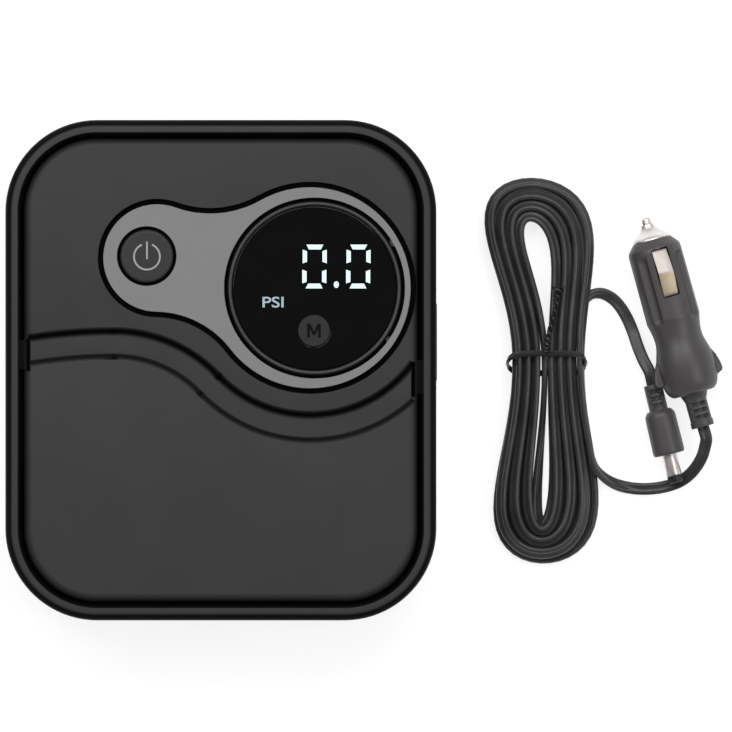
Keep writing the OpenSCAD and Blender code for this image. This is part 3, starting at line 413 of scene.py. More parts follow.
def turned(name, outline, place, angles=None, dent=None):
    """Turns a closed outline of (along, radius) in mm about X.

    dent(along, angle, radius) lowers the radius in mm. Angles that don't close the turn get flat ends.
    """
    whole = angles is None
    if whole:
        angles = [3 * k for k in range(120)]
    points, faces = [], []
    for along, radius in outline:
        for angle in angles:
            a = math.radians(angle)
            r = max(0.0, radius - (dent(along, angle, radius) if dent else 0))
            points.append(Vector((along, r * math.cos(a), r * math.sin(a))) * MM)
    rings, count = len(outline), len(angles)
    for i in range(rings):
        j = (i + 1) % rings
        if outline[i][1] == 0 and outline[j][1] == 0:
            continue
        for k in range(count if whole else count - 1):
            n = (k + 1) % count
            faces.append((i * count + k, j * count + k, j * count + n, i * count + n))
    if not whole:
        for k in (0, count - 1):
            faces.append([i * count + k for i in range(rings)])
    mesh = make_mesh(name, points, faces)
    mesh.transform(place)
    return mesh


def plate(name, outline, low, high, place=None):
    """Flat plate of a closed outline of (x, y) in mm, from z low to z high in mm."""
    bm = bmesh.new()
    face = bm.faces.new([bm.verts.new((x * MM, y * MM, low * MM)) for x, y in outline])
    solid = bmesh.ops.extrude_face_region(bm, geom=[face])
    moved = [v for v in solid["geom"] if isinstance(v, bmesh.types.BMVert)]
    bmesh.ops.translate(bm, verts=moved, vec=(0, 0, (high - low) * MM))
    bmesh.ops.recalc_face_normals(bm, faces=bm.faces)
    mesh = bpy.data.meshes.new(name)
    bm.to_mesh(mesh)
    bm.free()
    if place is not None:
        mesh.transform(place)
    return mesh


def join(name, meshes):
    """One mesh of several."""
    bm = bmesh.new()
    for mesh in meshes:
        bm.from_mesh(mesh)
    joined = bpy.data.meshes.new(name)
    bm.to_mesh(joined)
    bm.free()
    return joined


def cut(name, mesh, tool):
    """The mesh with the tool cut out of it."""
    obj = add_object(name, mesh)
    other = add_object(name + "_tool", tool)
    modifier = obj.modifiers.new("cut", "BOOLEAN")
    modifier.operation = "DIFFERENCE"
    modifier.solver = "EXACT"
    modifier.object = other
    result = settle(obj, name)
    bpy.data.objects.remove(other)
    return tidy_mesh(result)


def rounded(name, mesh, width):
    """Mesh with its edges rounded over width mm."""
    obj = add_object(name, mesh)
    bevel = obj.modifiers.new("round", "BEVEL")
    bevel.width = width * MM
    bevel.segments = 4
    bevel.limit_method = "ANGLE"
    bevel.angle_limit = math.radians(35)
    return settle(obj, name)


# ---- node trees for what repeats

class Growth(Nodes):
    """A geometry tree in the making, with its named inputs in given."""

    def __init__(self, name, sizes):
        super().__init__(bpy.data.node_groups.new(name, "GeometryNodeTree"))
        self.add_socket("Geometry", "Geometry")
        for label, value in sizes.items():
            self.add_socket(label, "Int" if isinstance(value, int) else "Float").default_value = value
        self.add_socket("Material", "Material")
        self.add_socket("Geometry", "Geometry", "OUTPUT")
        self.given = self.node("NodeGroupInput").outputs

    def add_socket(self, label, kind, way="INPUT"):
        return self.tree.interface.new_socket(label, in_out=way, socket_type="NodeSocket" + kind)

    def place(self):
        """Where the points of the mesh at hand lie."""
        return self.axes(self.node("GeometryNodeInputPosition").outputs[0])

    def off_axis(self, place):
        flat = self.vector(place["X"], place["Y"])
        return self.node("ShaderNodeVectorMath", {0: flat}, operation="LENGTH").outputs["Value"]

    def named(self, label, kind="FLOAT"):
        """What each point of the base has under a label."""
        return self.node("GeometryNodeInputNamedAttribute", {"Name": label}, data_type=kind).outputs[0]

    def cylinder(self, sides, radius, depth, segments=1, rings=1, **settings):
        return self.node("GeometryNodeMeshCylinder", {
            "Vertices": sides, "Radius": radius, "Depth": depth, "Side Segments": segments,
            "Fill Segments": rings}, **settings).outputs["Mesh"]

    def shaped(self, shape, x, y, z=0.0):
        """The shape with its points at x, y and z."""
        at = self.vector(x, y, z)
        return self.node("GeometryNodeSetPosition", {"Geometry": shape, "Position": at}).outputs[0]

    def raised(self, shape, height):
        up = self.vector(z=height)
        return self.node("GeometryNodeTransform", {"Geometry": shape, "Translation": up}).outputs[0]

    def joined(self, *shapes):
        join = self.node("GeometryNodeJoinGeometry")
        for shape in shapes:
            self.link(shape, join.inputs[0])
        return join.outputs[0]

    def spread(self, shape, **inputs):
        """The shape at each point of the base."""
        points = self.node("GeometryNodeMeshToPoints", {"Mesh": self.given["Geometry"]}).outputs[0]
        return self.node("GeometryNodeInstanceOnPoints", {
            "Points": points, "Instance": shape, **inputs}).outputs[0]

    def finish(self, shape):
        """Realises what the tree made, gives it its material and hands it out."""
        real = self.node("GeometryNodeRealizeInstances", {"Geometry": shape}).outputs[0]
        dressed = self.node("GeometryNodeSetMaterial", {"Geometry": real, "Material": self.given["Material"]})
        self.node("NodeGroupOutput", {"Geometry": dressed.outputs[0]})
        return self.tree


def base_points(name, points, label=None, values=(), edges=()):
    """Points for a tree, joined by edges if any, each with its value or vector under a label."""
    mesh = bpy.data.meshes.new(name)
    mesh.from_pydata([tuple(p) for p in points], edges, [])
    if label:
        plain = len(values) == len(points)
        layer = mesh.attributes.new(label, "FLOAT" if plain else "FLOAT_VECTOR", "POINT")
        layer.data.foreach_set("value" if plain else "vector", values)
    return mesh


def grow(name, tree, base, sizes):
    """Runs a tree on a base mesh and returns what it made as a plain mesh."""
    obj = add_object(name + "_base", base)
    modifier = obj.modifiers.new("nodes", "NODES")
    modifier.node_group = tree
    for item in tree.interface.items_tree:
        if item.in_out == "INPUT" and item.name in sizes:
            modifier[item.identifier] = sizes[item.name]
    return settle(obj, name)


def twin_cord_tree():
    """Flat twin cord along a line: two round cores side by side with a groove between them."""
    t = Growth("twin_cord", {"Width": 0.0044, "Thickness": 0.0024, "Groove": 0.45, "Sides": 20})
    g = t.given
    line = t.node("GeometryNodeMeshToCurve", {"Mesh": g["Geometry"]}).outputs[0]
    upright = t.node("GeometryNodeSetCurveNormal", {"Curve": line})
    upright.mode = "Z_UP"
    tilted = t.node("GeometryNodeSetCurveTilt", {"Curve": upright.outputs[0], "Tilt": t.named("turn")})
    ring = t.node("GeometryNodeCurvePrimitiveCircle", {"Resolution": g["Sides"], "Radius": 1.0}).outputs[0]
    place = t.place()
    # deepest at the middle of the width and gone halfway out
    near = t.times(place["Y"], 3.4)
    dip = t.maths("POWER", 2.718, t.times(t.times(near, near), -1.0))
    flat = t.maths("SUBTRACT", 1.0, t.times(dip, g["Groove"]))
    # a squarer ring than a circle, so that each core stays round
    full = t.times(t.maths("SIGN", place["X"]), t.maths("POWER", t.maths("ABSOLUTE", place["X"]), 0.55))
    across = t.times(t.times(full, flat), t.times(g["Thickness"], 0.5))
    profile = t.shaped(ring, across, t.times(place["Y"], t.times(g["Width"], 0.5)))
    tube = t.node("GeometryNodeCurveToMesh", {
        "Curve": tilted.outputs[0], "Profile Curve": profile, "Fill Caps": True})
    return t.finish(tube.outputs[0])


TWIN_CORD = twin_cord_tree()


def strand(name, points, turns, width, thickness, material, groove=0.0, sides=12):
    """Cord along a line of points, each with its turn about the line, in radians."""
    edges = [(i, i + 1) for i in range(len(points) - 1)]
    return grow(name, TWIN_CORD, base_points(name + "_line", points, "turn", turns, edges), {
        "Width": width, "Thickness": thickness, "Groove": groove, "Sides": sides, "Material": material})


# ---- cord

CORD_W = 0.0044
CORD_T = 0.0024
DC_END = Vector((0.156, -0.0052, 0.0058))
DC_TURN = math.radians(-76.5)
DC_DIR = Vector((math.cos(DC_TURN), math.sin(DC_TURN), 0))
CAR_TIP = Vector((0.1533, 0.0552, 0.0107))
CAR_TURN = math.radians(-74.6)
CAR_DIR = Vector((math.cos(CAR_TURN), math.sin(CAR_TURN), 0))
CAR_ROLL = math.radians(-10)
CAR_END = CAR_TIP + 0.0785 * CAR_DIR
HANK = Vector((0.1176, 0.0037, 0))
LOOPS = 7
HANK_TURNS = LOOPS + 30 / 360


def hank_angle(t):
    return math.radians(9 - 360 * t)


def hank_at(t):
    """Place on the hank after t turns: it winds in, climbs and winds out again on top."""
    a = hank_angle(t)
    inward = t if t < LOOPS / 2 else LOOPS - t
    top = math.sin(a) > 0
    far = math.sin(a) ** 2
    # half the width at the waist and, 50 degrees round from it, at the upper or the lower lobe
    half = 0.0122 - 0.0033 * inward
    lobe = 0.0184 - (0.0038 if top else 0.0047) * inward
    widest = math.radians(50)
    flare = (lobe / math.cos(widest) - half) / math.sin(widest) ** 2
    reach = (0.065 if top else 0.073) - 0.004 * inward
    lean = (-0.006 if top else -0.0015) * far
    # from the lower layer to the upper one halfway, and a little higher under the tie
    climb = min(1, max(0, (t - LOOPS / 2) * 12 + 0.5))
    lift = 0.0013 * max(0, 1 - (reach * math.sin(a) / 0.028) ** 2) ** 2
    x = HANK.x + lean + math.cos(a) * (half + flare * far)
    y = HANK.y + reach * math.sin(a)
    return Vector((x, y, CORD_W / 2 + (CORD_W + 0.0006) * climb + lift))


def strand_tilt(t):
    """Lean of the cord's flat section after t turns, so that the strands lie like louvres."""
    a = hank_angle(t)
    lean = 0.68 + 0.18 * math.sin(a) ** 2
    layer = 1 if t > LOOPS / 2 else -1
    ends = min(smooth(t, 0, 0.12), smooth(HANK_TURNS - t, 0, 0.12))
    climbing = smooth(abs(t - LOOPS / 2), 0, 0.15)
    return layer * lean * ends * climbing + 0.08 * math.sin(5.3 * t)


def cord_route():
    """Points and turns of the whole cord, from the pump-end plug through the hank to the car plug."""
    start_dir = (hank_at(0) - hank_at(0.01)).normalized()
    end_dir = (hank_at(HANK_TURNS + 0.01) - hank_at(HANK_TURNS)).normalized()
    start = hank_at(0) + CORD_W * start_dir
    end = hank_at(HANK_TURNS) + CORD_W * end_dir
    to_hank = [DC_END, DC_END - CORD_W * DC_DIR] + [Vector(p) * MM for p in (
        (152.6, 3.8, 4.8), (150.6, 8.8, 3), (149, 13.6, 1.7), (147, 18.4, 1.2), (144.4, 22.8, 1.2),
        (141.4, 26, 1.5), (137.6, 27.8, 1.8), (134, 27.4, 2.2), (131.8, 25.2, 2.7))]
    to_hank += [start + CORD_W * start_dir, start]
    from_hank = [end, end + CORD_W * end_dir] + [Vector(p) * MM for p in (
        (135.4, -35.4, 6.4), (138.2, -38.6, 4.4), (142, -41, 2.6), (146.4, -42.4, 1.5), (151.2, -43, 1.2),
        (156.2, -42.9, 1.2), (161, -42.1, 1.2), (165.4, -40.6, 1.4), (169, -38.2, 2.4),
        (171.8, -35, 4.4), (173.9, -31.2, 7), (174.9, -27.6, 9.6))]
    from_hank += [CAR_END + CORD_W * CAR_DIR, CAR_END]
    steps = 6
    per_loop = 72
    count = round(HANK_TURNS * per_loop)
    hank = [hank_at(HANK_TURNS * i / count) for i in range(count + 1)]
    first, last = curved(to_hank, steps), curved(from_hank, steps)

    def over(rings):
        """Turn that takes the cord from its edge, at the hank, to its flat side on the floor."""
        return math.pi / 2 * min(1, max(0, (rings - 1) / 5))

    turns = [over((len(first) - 1 - i) / steps) for i in range(len(first))]
    turns += [strand_tilt(HANK_TURNS * i / count) for i in range(count + 1)]
    turns += [over(i / steps) for i in range(len(last))]
    points = first + hank + last
    for point, turn in zip(points, turns):
        half = math.hypot(CORD_W / 2 * math.cos(turn), CORD_T / 2 * math.sin(turn))
        point.z = max(point.z, half)
    return points, turns


def make_cord():
    points, turns = cord_route()
    mesh = tidy_mesh(strand("power_cord", points, turns, CORD_W, CORD_T, CORD, groove=0.5, sides=20))
    cord = add_piece("power_cord", mesh, "power_lead", CORD, sharp=60)
    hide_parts("cord_dc_stretch", "cord_hank", "cord_car_stretch")
    return cord, points


cord_piece, cord_points = make_cord()


TIE_STEPS = 96
TIE_SECTION = ((-1.1, -0.3), (-0.35, -0.3), (0.35, -0.3), (1.1, -0.3), (1.1, 0.1), (0.45, 0.15), (0, 0.55),
               (-0.45, 0.15), (-1.1, 0.1))
TAIL_TWISTS = 5.5


def tie_band():
    """Tie round the waist of the hank, slanting from its front down to its back."""
    line = []
    for k in range(TIE_STEPS):
        a = 2 * math.pi * k / TIE_STEPS - math.pi / 2
        c, s = math.cos(a), math.sin(a)
        x = HANK.x + 0.01425 * math.copysign(abs(c) ** 0.4, c)
        z = 0.0063 + 0.0057 * math.copysign(abs(s) ** 0.45, s)
        line.append(Vector((x, HANK.y - 0.0012 + 0.0036 * s, z)))
    points, faces = [], []
    n = len(TIE_SECTION)
    for i, p in enumerate(line):
        j = (i + 1) % TIE_STEPS
        ahead = line[j] - line[max(i - 1, 0)]
        out = Vector((ahead.z, 0, -ahead.x)).normalized()
        points += [p + Vector((0, across, 0)) * MM + out * up * MM for across, up in TIE_SECTION]
        for k in range(n):
            m = (k + 1) % n
            faces.append((i * n + k, j * n + k, j * n + m, i * n + m))
    return make_mesh("tie_band", points, faces)


def make_tie():
    meshes = [tie_band()]
    tail = curved([Vector(p) * MM for p in ((117.2, 6.1, 12.9), (117.6, 8.6, 13.2), (118.4, 13, 12.4),
                                           (119.8, 19, 11.9), (121.4, 25, 11.6), (121.8, 30, 11.4))], 20)
    for side in (0, math.pi):
        points, turns = [], []
        for i, p in enumerate(tail):
            f = i / (len(tail) - 1)
            a = side + 2 * math.pi * TAIL_TWISTS * f
            spread = 0.0005 + 0.0013 * max(0, f - 0.86) / 0.14
            points.append(p + Vector((math.cos(a), 0, math.sin(a))) * spread)
            turns.append(a)
        meshes.append(strand("tie_tail", points, turns, 0.0013, 0.0009, TIE))
    return add_piece("cord_tie_twist", join("cord_tie_twist", meshes), "power_lead", TIE,
                     ["cord_tie"])


tie_piece = make_tie()


# ---- plug for the pump

DC_PLACE = Matrix.Translation(DC_END) @ Matrix.Rotation(DC_TURN, 4, "Z")
CAR_PLACE = (Matrix.Translation(CAR_TIP) @ Matrix.Rotation(CAR_TURN, 4, "Z")
             @ Matrix.Rotation(CAR_ROLL, 4, "X"))


RIB_SLOTS = 3
CORD_ROOM = 2.5


def rib_slots(first, step, width, depth):
    """Dent of the slots between the ribs of a strain relief, on its upper and its lower face only."""
    def dent(along, angle, radius):
        aside = min(abs(angle - 90), abs(angle - 270))
        if radius < CORD_ROOM or aside > 50:
            return 0
        for i in range(RIB_SLOTS):
            middle = first + step * i + width / 2
            if abs(along - middle) < width / 2 - 0.01:
                return depth * (1 - smooth(aside, 38, 50))
        return 0
    return dent


def turned_piece(name, node, outline, place, material, dent=None, body="power_lead"):
    """A turned part of the lead, in place of a node."""
    return add_piece(name, turned(name, outline, place, dent=dent), body, material, [node])


def make_dc_relief():
    slot, step, deep = 1.9, 2.6, 1.3
    outline = [(0, 0), (0, 2.9), (0.25, 3.3), (0.6, 3.4)]
    for i in range(RIB_SLOTS):
        low = slot + step * i
        outline += [(low - 0.12, 3.4), (low + 0.02, 3.4), (low + 1.28, 3.4), (low + 1.42, 3.4)]
    outline += [(9.5, 3.4), (9.5, 0)]
    return turned_piece("dc_relief", "dc_strain_relief", outline, DC_PLACE, PLUG,
                        rib_slots(slot, step, 1.3, deep))


def make_dc_grip():
    """Smooth grip with a sloping shoulder and a soft edge at the barrel."""
    outline = [(9.5, 0), (9.5, 3.9), (9.6, 4.2), (9.9, 4.6), (10.9, 5.3), (11.4, 5.48), (12.2, 5.58)]
    outline += [(13 + 1.2 * i, 5.6 + 0.02 * i) for i in range(10)]
    outline += [(24.9, 5.76), (25.4, 5.66), (25.75, 5.45), (25.95, 5.15), (26, 4.85), (26, 2.25), (22, 2.25),
                (22, 0)]
    return turned_piece("dc_grip", "dc_plug_grip", outline, DC_PLACE, PLUG)


def make_dc_barrel():
    outline = [(22, 0), (22, 2.2), (26, 2.2), (26, 2.72), (26.25, 2.72), (26.3, 2.6), (26.5, 2.6),
               (26.55, 2.75), (33.6, 2.75), (33.75, 2.7), (33.8, 2.6), (33.8, 2.3), (26.5, 2.3), (26.5, 0)]
    barrel = turned_piece("dc_barrel", "dc_plug_barrel", outline, DC_PLACE, NICKEL)
    outline = [(26.5, 0), (26.5, 2.29), (33.85, 2.29), (33.85, 2.6), (33.95, 2.72), (35.9, 2.72),
               (36.3, 2.55), (36.5, 2.2), (36.5, 1.5), (36.3, 1.2), (35.9, 1.05), (28.5, 1.05), (28.5, 0)]
    return barrel, turned_piece("dc_core", "dc_plug_insulator", outline, DC_PLACE, DARK)


dc_pieces = [make_dc_relief(), make_dc_grip(), *make_dc_barrel()]


# ---- plug for the car

FLUTES = (45, 135, 225, 315)


def smooth_outline(points, count):
    return [(p.x, p.y) for p in curved([(x, y, 0) for x, y in points], count)]


def car_outline():
    """Outside of the plug's body from its nose to its cord, then the room inside back to the nose."""
    nose = [(8.6, 5.7), (8.6, 6.95), (8.75, 7.2), (9, 7.4), (11, 9.1), (11.4, 9.4), (12, 9.6), (13, 9.7)]
    barrel = [(13 + 25 * k / 40, 9.7 + 0.1 * k / 40) for k in range(1, 41)]
    waist = smooth_outline([(38, 9.8), (41, 9.1), (44, 8.7), (47, 8.9), (51, 10), (55, 10.5), (59, 10.4),
                            (62, 10), (64.2, 9.2), (65.5, 8.1), (66, 7.1)], 6)
    lip = [(66, 6.85), (65.85, 6.6), (65.5, 6.45)]
    room = [(63.2, 6.4), (63.2, 4.05), (61, 4.05), (61, 6), (50, 6), (50, 3.6), (14, 3.6), (14, 5.7)]
    return nose + barrel + waist[1:] + lip + room


EAR = [(47, 8.6), (50, 9.4), (54, 11.4), (57, 12.3), (59.5, 12.6), (60.6, 12.1), (61.4, 9.8)]


def car_dent(along, angle, radius):
    """Flutes beside the windows, the springy ears on the flanks and the soft edges of the seam."""
    if radius < 6.3:
        return 0
    dent = 0
    if 13 < along < 40:
        off = min(abs(angle - flute) for flute in FLUTES)
        reach = smooth(along, 13.6, 15.6) * (1 - smooth(along, 37.4, 39.4))
        dent += 1.5 * reach * max(0, 1 - (off / 11.5) ** 2)
    flank = min(angle, abs(angle - 180), 360 - angle)
    if 47 < along < 61.4:
        for (x1, r1), (x2, r2) in zip(EAR, EAR[1:]):
            if x1 <= along <= x2:
                rise = r1 + (r2 - r1) * (along - x1) / (x2 - x1) - radius
                dent -= max(0, rise) * (1 - smooth(flank, 7.5, 10.5))
    if flank < 1:
        dent += 0.18
    return dent


def half_turn(first):
    """Angles of one half of the plug, closest at its seam and at the ears' sides."""
    half = [0.35, 1.1] + [2.5 * k for k in range(1, 72)] + [178.9, 179.65]
    return [first + a for a in half]


def window_tool(up):
    corners = []
    for cx, cy, start in ((29.2, 2.4, 0), (12.8, 2.4, 90), (12.8, -2.4, 180), (29.2, -2.4, 270)):
        for k in range(5):
            a = math.radians(start + 22.5 * k)
            corners.append((cx + 0.8 * math.cos(a), cy + 0.8 * math.sin(a)))
    return plate("window", corners, 4 if up else -13, 13 if up else -4, CAR_PLACE)


def screw_hole():
    """Stepped hole for the plug's screw, from below."""
    outline = [(-10, 0), (-10, 2.7), (-7, 2.7), (-7, 1.6), (2, 1.6), (2, 0)]
    upright = CAR_PLACE @ Matrix.Translation((0.046, 0, 0)) @ Matrix.Rotation(-math.pi / 2, 4, "Y")
    return turned("screw_hole", outline, upright)


def make_car_body():
    outline = car_outline()
    upper = turned("car_shell_upper", outline, CAR_PLACE, half_turn(0), car_dent)
    lower = turned("car_shell_lower", outline, CAR_PLACE, half_turn(180), car_dent)
    upper = cut("car_shell_upper", upper, window_tool(True))
    lower = cut("car_shell_lower", lower, window_tool(False))
    lower = cut("car_shell_lower", lower, screw_hole())
    return [add_piece("car_shell_upper", upper, "power_lead", PLUG, ["car_plug_upper"], 40),
            add_piece("car_shell_lower", lower, "power_lead", PLUG, ["car_plug_lower"], 40)]


def make_car_nose():
    """Plated nose that flares out to a lip, and the contact that looks out of it."""
    flare = smooth_outline([(2.75, 2.45), (3.4, 2.62), (4.4, 3.1), (5.4, 3.95), (6.3, 5.1), (7.1, 6.15),
                            (7.7, 6.65)], 5)
    outline = [(2.6, 1.87), (2.6, 2.2)] + flare
    outline += [(8.1, 6.9), (8.4, 6.95), (8.55, 6.8), (8.6, 6.5), (8.6, 5.55), (13, 5.55), (13, 3.35),
                (5.2, 3.35), (5.2, 1.87)]
    nose = turned_piece("car_nose", "nose_cap", outline, CAR_PLACE, NICKEL)
    outline = [(0, 0), (0, 0.75), (0.12, 1.1), (0.4, 1.45), (0.8, 1.66), (1.3, 1.75), (6, 1.75), (6, 2.9),
               (6.3, 3), (13.0, 3), (13.2, 2.8), (13.2, 0)]
    tip = turned_piece("car_tip", "tip_contact", outline, CAR_PLACE, NICKEL, body="tip")
    return nose, tip


def leaf_mesh(name, up):
    """Leaf contact: two flat halves that meet at a crease, with turned-down ends and rounded sides."""
    points, faces = [], []
    count = 44
    across = (-2.8, -2.72, -2.5, 0, 2.5, 2.72, 2.8)
    for side in (0, 0.5):
        for k in range(count + 1):
            f = k / count
            x = 12.5 + 17 * f
            bend = abs(f - 0.5) * 2
            height = 10.43 - 2.2 * math.hypot(bend, 0.04) - 0.16 * smooth(bend, 0.92, 1)
            for y in across:
                edge = 0.16 * max(0, (abs(y) - 2.5) / 0.3) ** 2
                sink = side + (edge if side == 0 else -edge)
                z = height - sink
                points.append(Vector((x, y, z if up else -z)) * MM)
    n = len(across)
    low = (count + 1) * n
    for k in range(count):
        for i in range(n - 1):
            a = k * n + i
            faces += [(a, a + 1, a + n + 1, a + n), (low + a, low + a + n, low + a + n + 1, low + a + 1)]
        for i in (0, n - 1):
            a = k * n + i
            faces.append((a, a + n, low + a + n, low + a))
    for k in (0, count):
        for i in range(n - 1):
            a = k * n + i
            faces.append((a, low + a, low + a + 1, a + 1))
    mesh = make_mesh(name, points, faces)
    mesh.transform(CAR_PLACE)
    return mesh


def make_leaves():
    return [add_piece("leaf_" + side, leaf_mesh("leaf_" + side, side == "upper"), "side_contact_" + side,
                      LEAF, ["side_contact_" + side]) for side in ("upper", "lower")]


def make_car_relief():
    """Strain relief with its collar in the end of the plug, slots on two faces and an end flange."""
    slot, step, deep = 69.4, 2.4, 1.5
    outline = [(60.6, 0), (60.6, 4), (63.25, 4), (63.25, 5.5), (63.5, 5.75), (64.1, 5.8), (64.6, 5.65)]
    outline += [(64.6 + 0.8 * k, 5.65 - 0.33 * k) for k in range(1, 6)]
    for i in range(RIB_SLOTS):
        low = slot + step * i
        outline += [(low - 0.12, 3.95), (low + 0.02, 3.95), (low + 1.18, 3.95), (low + 1.32, 3.95)]
    outline += [(76.1, 3.95), (76.3, 4.2), (78.2, 4.2), (78.42, 4.1), (78.5, 3.85), (78.5, 0)]
    return turned_piece("car_relief", "car_strain_relief", outline, CAR_PLACE, PLUG,
                        rib_slots(slot, step, 1.2, deep))


car_pieces = [*make_car_body(), *make_car_nose(), *make_leaves(), make_car_relief()]


# ---- screws

def screw_tree():
    """Pan-head screws with a cross recess, one at each point of the base, their shanks along its arrow."""
    t = Growth("screws", {"Head Radius": 0.0028, "Head Height": 0.002, "Shank Radius": 0.0015,
                          "Shank Length": 0.02, "Recess": 0.3, "Steps": 48})
    g = t.given
    wide, tall, long = g["Head Radius"], g["Head Height"], g["Shank Length"]
    half = t.times(tall, 0.5)
    place = t.place()
    # the head is domed: the nearer to its rim, the lower its outer face
    head = t.cylinder(g["Steps"], wide, tall, 6, 6, fill_type="TRIANGLE_FAN")
    rim = t.maths("POWER", t.maths("DIVIDE", t.off_axis(place), wide), 3.0)
    depth = t.maths("DIVIDE", t.maths("SUBTRACT", half, place["Z"]), tall)
    sink = t.vector(z=t.times(t.times(rim, t.times(tall, 0.45)), depth))
    domed = t.node("GeometryNodeSetPosition", {"Geometry": head, "Offset": sink})
    size = t.vector(t.times(wide, 1.15), t.times(wide, g["Recess"]), t.times(tall, 1.3))
    blade = t.node("GeometryNodeMeshCube", {"Size": size}).outputs["Mesh"]
    crossing = t.node("GeometryNodeTransform", {"Geometry": blade, "Rotation": (0, 0, math.pi / 2)})
    solid = t.raised(domed.outputs[0], half)
    dug = t.node("GeometryNodeMeshBoolean", {"Mesh 1": solid}, operation="DIFFERENCE")
    t.link(blade, dug.inputs["Mesh 2"])
    t.link(crossing.outputs[0], dug.inputs["Mesh 2"])
    # thread: every other ring of the shank drawn in
    shank = t.cylinder(g["Steps"], g["Shank Radius"], long, 40)
    ring = t.maths("SINE", t.times(place["Z"], t.maths("DIVIDE", 40 * math.pi, long)))
    narrow = t.maths("SUBTRACT", 0.92, t.times(ring, 0.07))
    thread = t.shaped(shank, t.times(place["X"], narrow), t.times(place["Y"], narrow), place["Z"])
    stood = t.raised(thread, t.maths("ADD", tall, t.times(long, 0.5)))
    aim = t.node("FunctionNodeAlignRotationToVector", {"Vector": t.named("arrow", "FLOAT_VECTOR")}, axis="Z")
    return t.finish(t.spread(t.joined(dug.outputs["Mesh"], stood), Rotation=aim.outputs[0]))


SCREWS = screw_tree()


def make_screws(name, node, body, places, arrow, head, shank):
    """Screws of head (radius, height) and shank (radius, length) in mm, in place of a node."""
    base = base_points(name, [Vector(p) * MM for p in places], "arrow", list(arrow) * len(places))
    mesh = grow(name, SCREWS, base, {
        "Head Radius": head[0] * MM, "Head Height": head[1] * MM, "Shank Radius": shank[0] * MM,
        "Shank Length": shank[1] * MM, "Recess": 0.3, "Steps": 48, "Material": STEEL})
    return add_piece(name, tidy_mesh(mesh), body, STEEL, [node], sharp=32)


make_screws("cover_screws", "housing_screws", "inflator", [(x, y, 12) for x in (-66, 66) for y in (-60, 60)],
            (0, 0, 1), (2.8, 2), (1.5, 20))
make_screws("panel_screws", "board_screws", "inflator",
            [(x, y, 40.8) for x, y in ((-38, 8), (-38, 54), (55, 54), (55, 8))],
            (0, 0, 1), (2.3, 1.2), (1.2, 6))
make_screws("head_bolts", "head_screws", "inflator",
            [(52.9, -3.4 + y, 26 + z) for y in (-11, 11) for z in (-11, 11)],
            (-1, 0, 0), (2.3, 1.4), (1.25, 10))
plug_screw = make_screws("plug_screw", "car_plug_screw", "power_lead",
                         [CAR_PLACE @ (Vector((46, 0, -8.4)) * MM) / MM],
                         CAR_PLACE.to_3x3() @ Vector((0, 0, 1)), (2.5, 1.4), (1.2, 3.2))


def make_tip_coil():
    """Coil spring behind the fuse, with its end turns closed."""
    turns, steps = 7, 24
    points = []
    for i in range(turns * steps + 1):
        f = i / (turns * steps)
        a = 2 * math.pi * turns * f
        along = 43.65 + 5.5 * (0.85 * smooth(f, 0.04, 0.96) + 0.15 * f)
        points.append(CAR_PLACE @ (Vector((along, 2.5 * math.cos(a), 2.5 * math.sin(a))) * MM))
    mesh = tidy_mesh(strand("tip_coil", points, [0.0] * len(points), 0.0006, 0.0006, STEEL))
    coil = add_piece("tip_coil", mesh, "power_lead", STEEL, ["tip_spring"])
    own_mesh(coil)
    return coil


car_pieces += [plug_screw, make_tip_coil()]


# ---- feet

def foot_tree():
    """Round rubber feet, one at each point of the base, their soles dished and set with small studs."""
    t = Growth("feet", {"Radius": 0.007, "Height": 0.0023, "Studs": 14, "Stud Radius": 0.0005})
    g = t.given
    pad = t.cylinder(64, g["Radius"], g["Height"], 5, 6)
    place = t.place()
    half = t.times(g["Height"], 0.5)
    out = t.maths("DIVIDE", t.off_axis(place), g["Radius"])
    # the sole is dished inside its rim, and the side draws in towards the sole
    low = t.maths("LESS_THAN", place["Z"], t.times(half, -0.9))
    dish = t.times(t.maths("LESS_THAN", out, 0.8), t.times(low, 0.00035))
    draw = t.maths("SUBTRACT", 1.0, t.times(low, 0.05))
    formed = t.shaped(pad, t.times(place["X"], draw), t.times(place["Y"], draw),
                      t.maths("ADD", t.maths("ADD", place["Z"], half), dish))
    ring = t.node("GeometryNodeMeshCircle", {"Vertices": g["Studs"], "Radius": t.times(g["Radius"], 0.5)})
    stud = t.cylinder(12, g["Stud Radius"], t.times(g["Height"], 0.4))
    studs = t.node("GeometryNodeInstanceOnPoints", {"Points": ring.outputs[0], "Instance": stud})
    set_in = t.raised(studs.outputs[0], t.times(g["Height"], 0.22))
    return t.finish(t.spread(t.joined(formed, set_in)))


def make_feet():
    base = base_points("foot_points", [(x, y, 0) for x in (-0.055, 0.055) for y in (-0.068, 0.068)])
    mesh = grow("foot_pads", foot_tree(), base,
                {"Radius": 0.007, "Height": 0.0023, "Studs": 14, "Stud Radius": 0.0005, "Material": RUBBER})
    add_piece("foot_pads", tidy_mesh(mesh), "inflator", RUBBER, ["rubber_feet"])


make_feet()


# ---- display

def segment_tree():
    """Lit segments: bars that taper towards the middle of the digit."""
    t = Growth("segments", {"Length": 0.006, "Width": 0.002, "Height": 0.00004, "Taper": 0.26})
    g = t.given
    place = t.place()
    # a circle squared up, then narrowed towards +Y, which is the inside of the digit
    x, y = [t.maths("MAXIMUM", t.maths("MINIMUM", t.times(place[axis], 1.5), 0.5), -0.5) for axis in "XY"]
    shorter = t.maths("SUBTRACT", 1.0, t.times(t.maths("ADD", y, 0.5), g["Taper"]))
    bar = t.shaped(t.cylinder(24, 0.5, 1.0), t.times(t.times(x, shorter), g["Length"]),
                   t.times(y, g["Width"]), t.times(place["Z"], g["Height"]))
    return t.finish(t.spread(bar, Rotation=t.vector(z=t.named("turn"))))


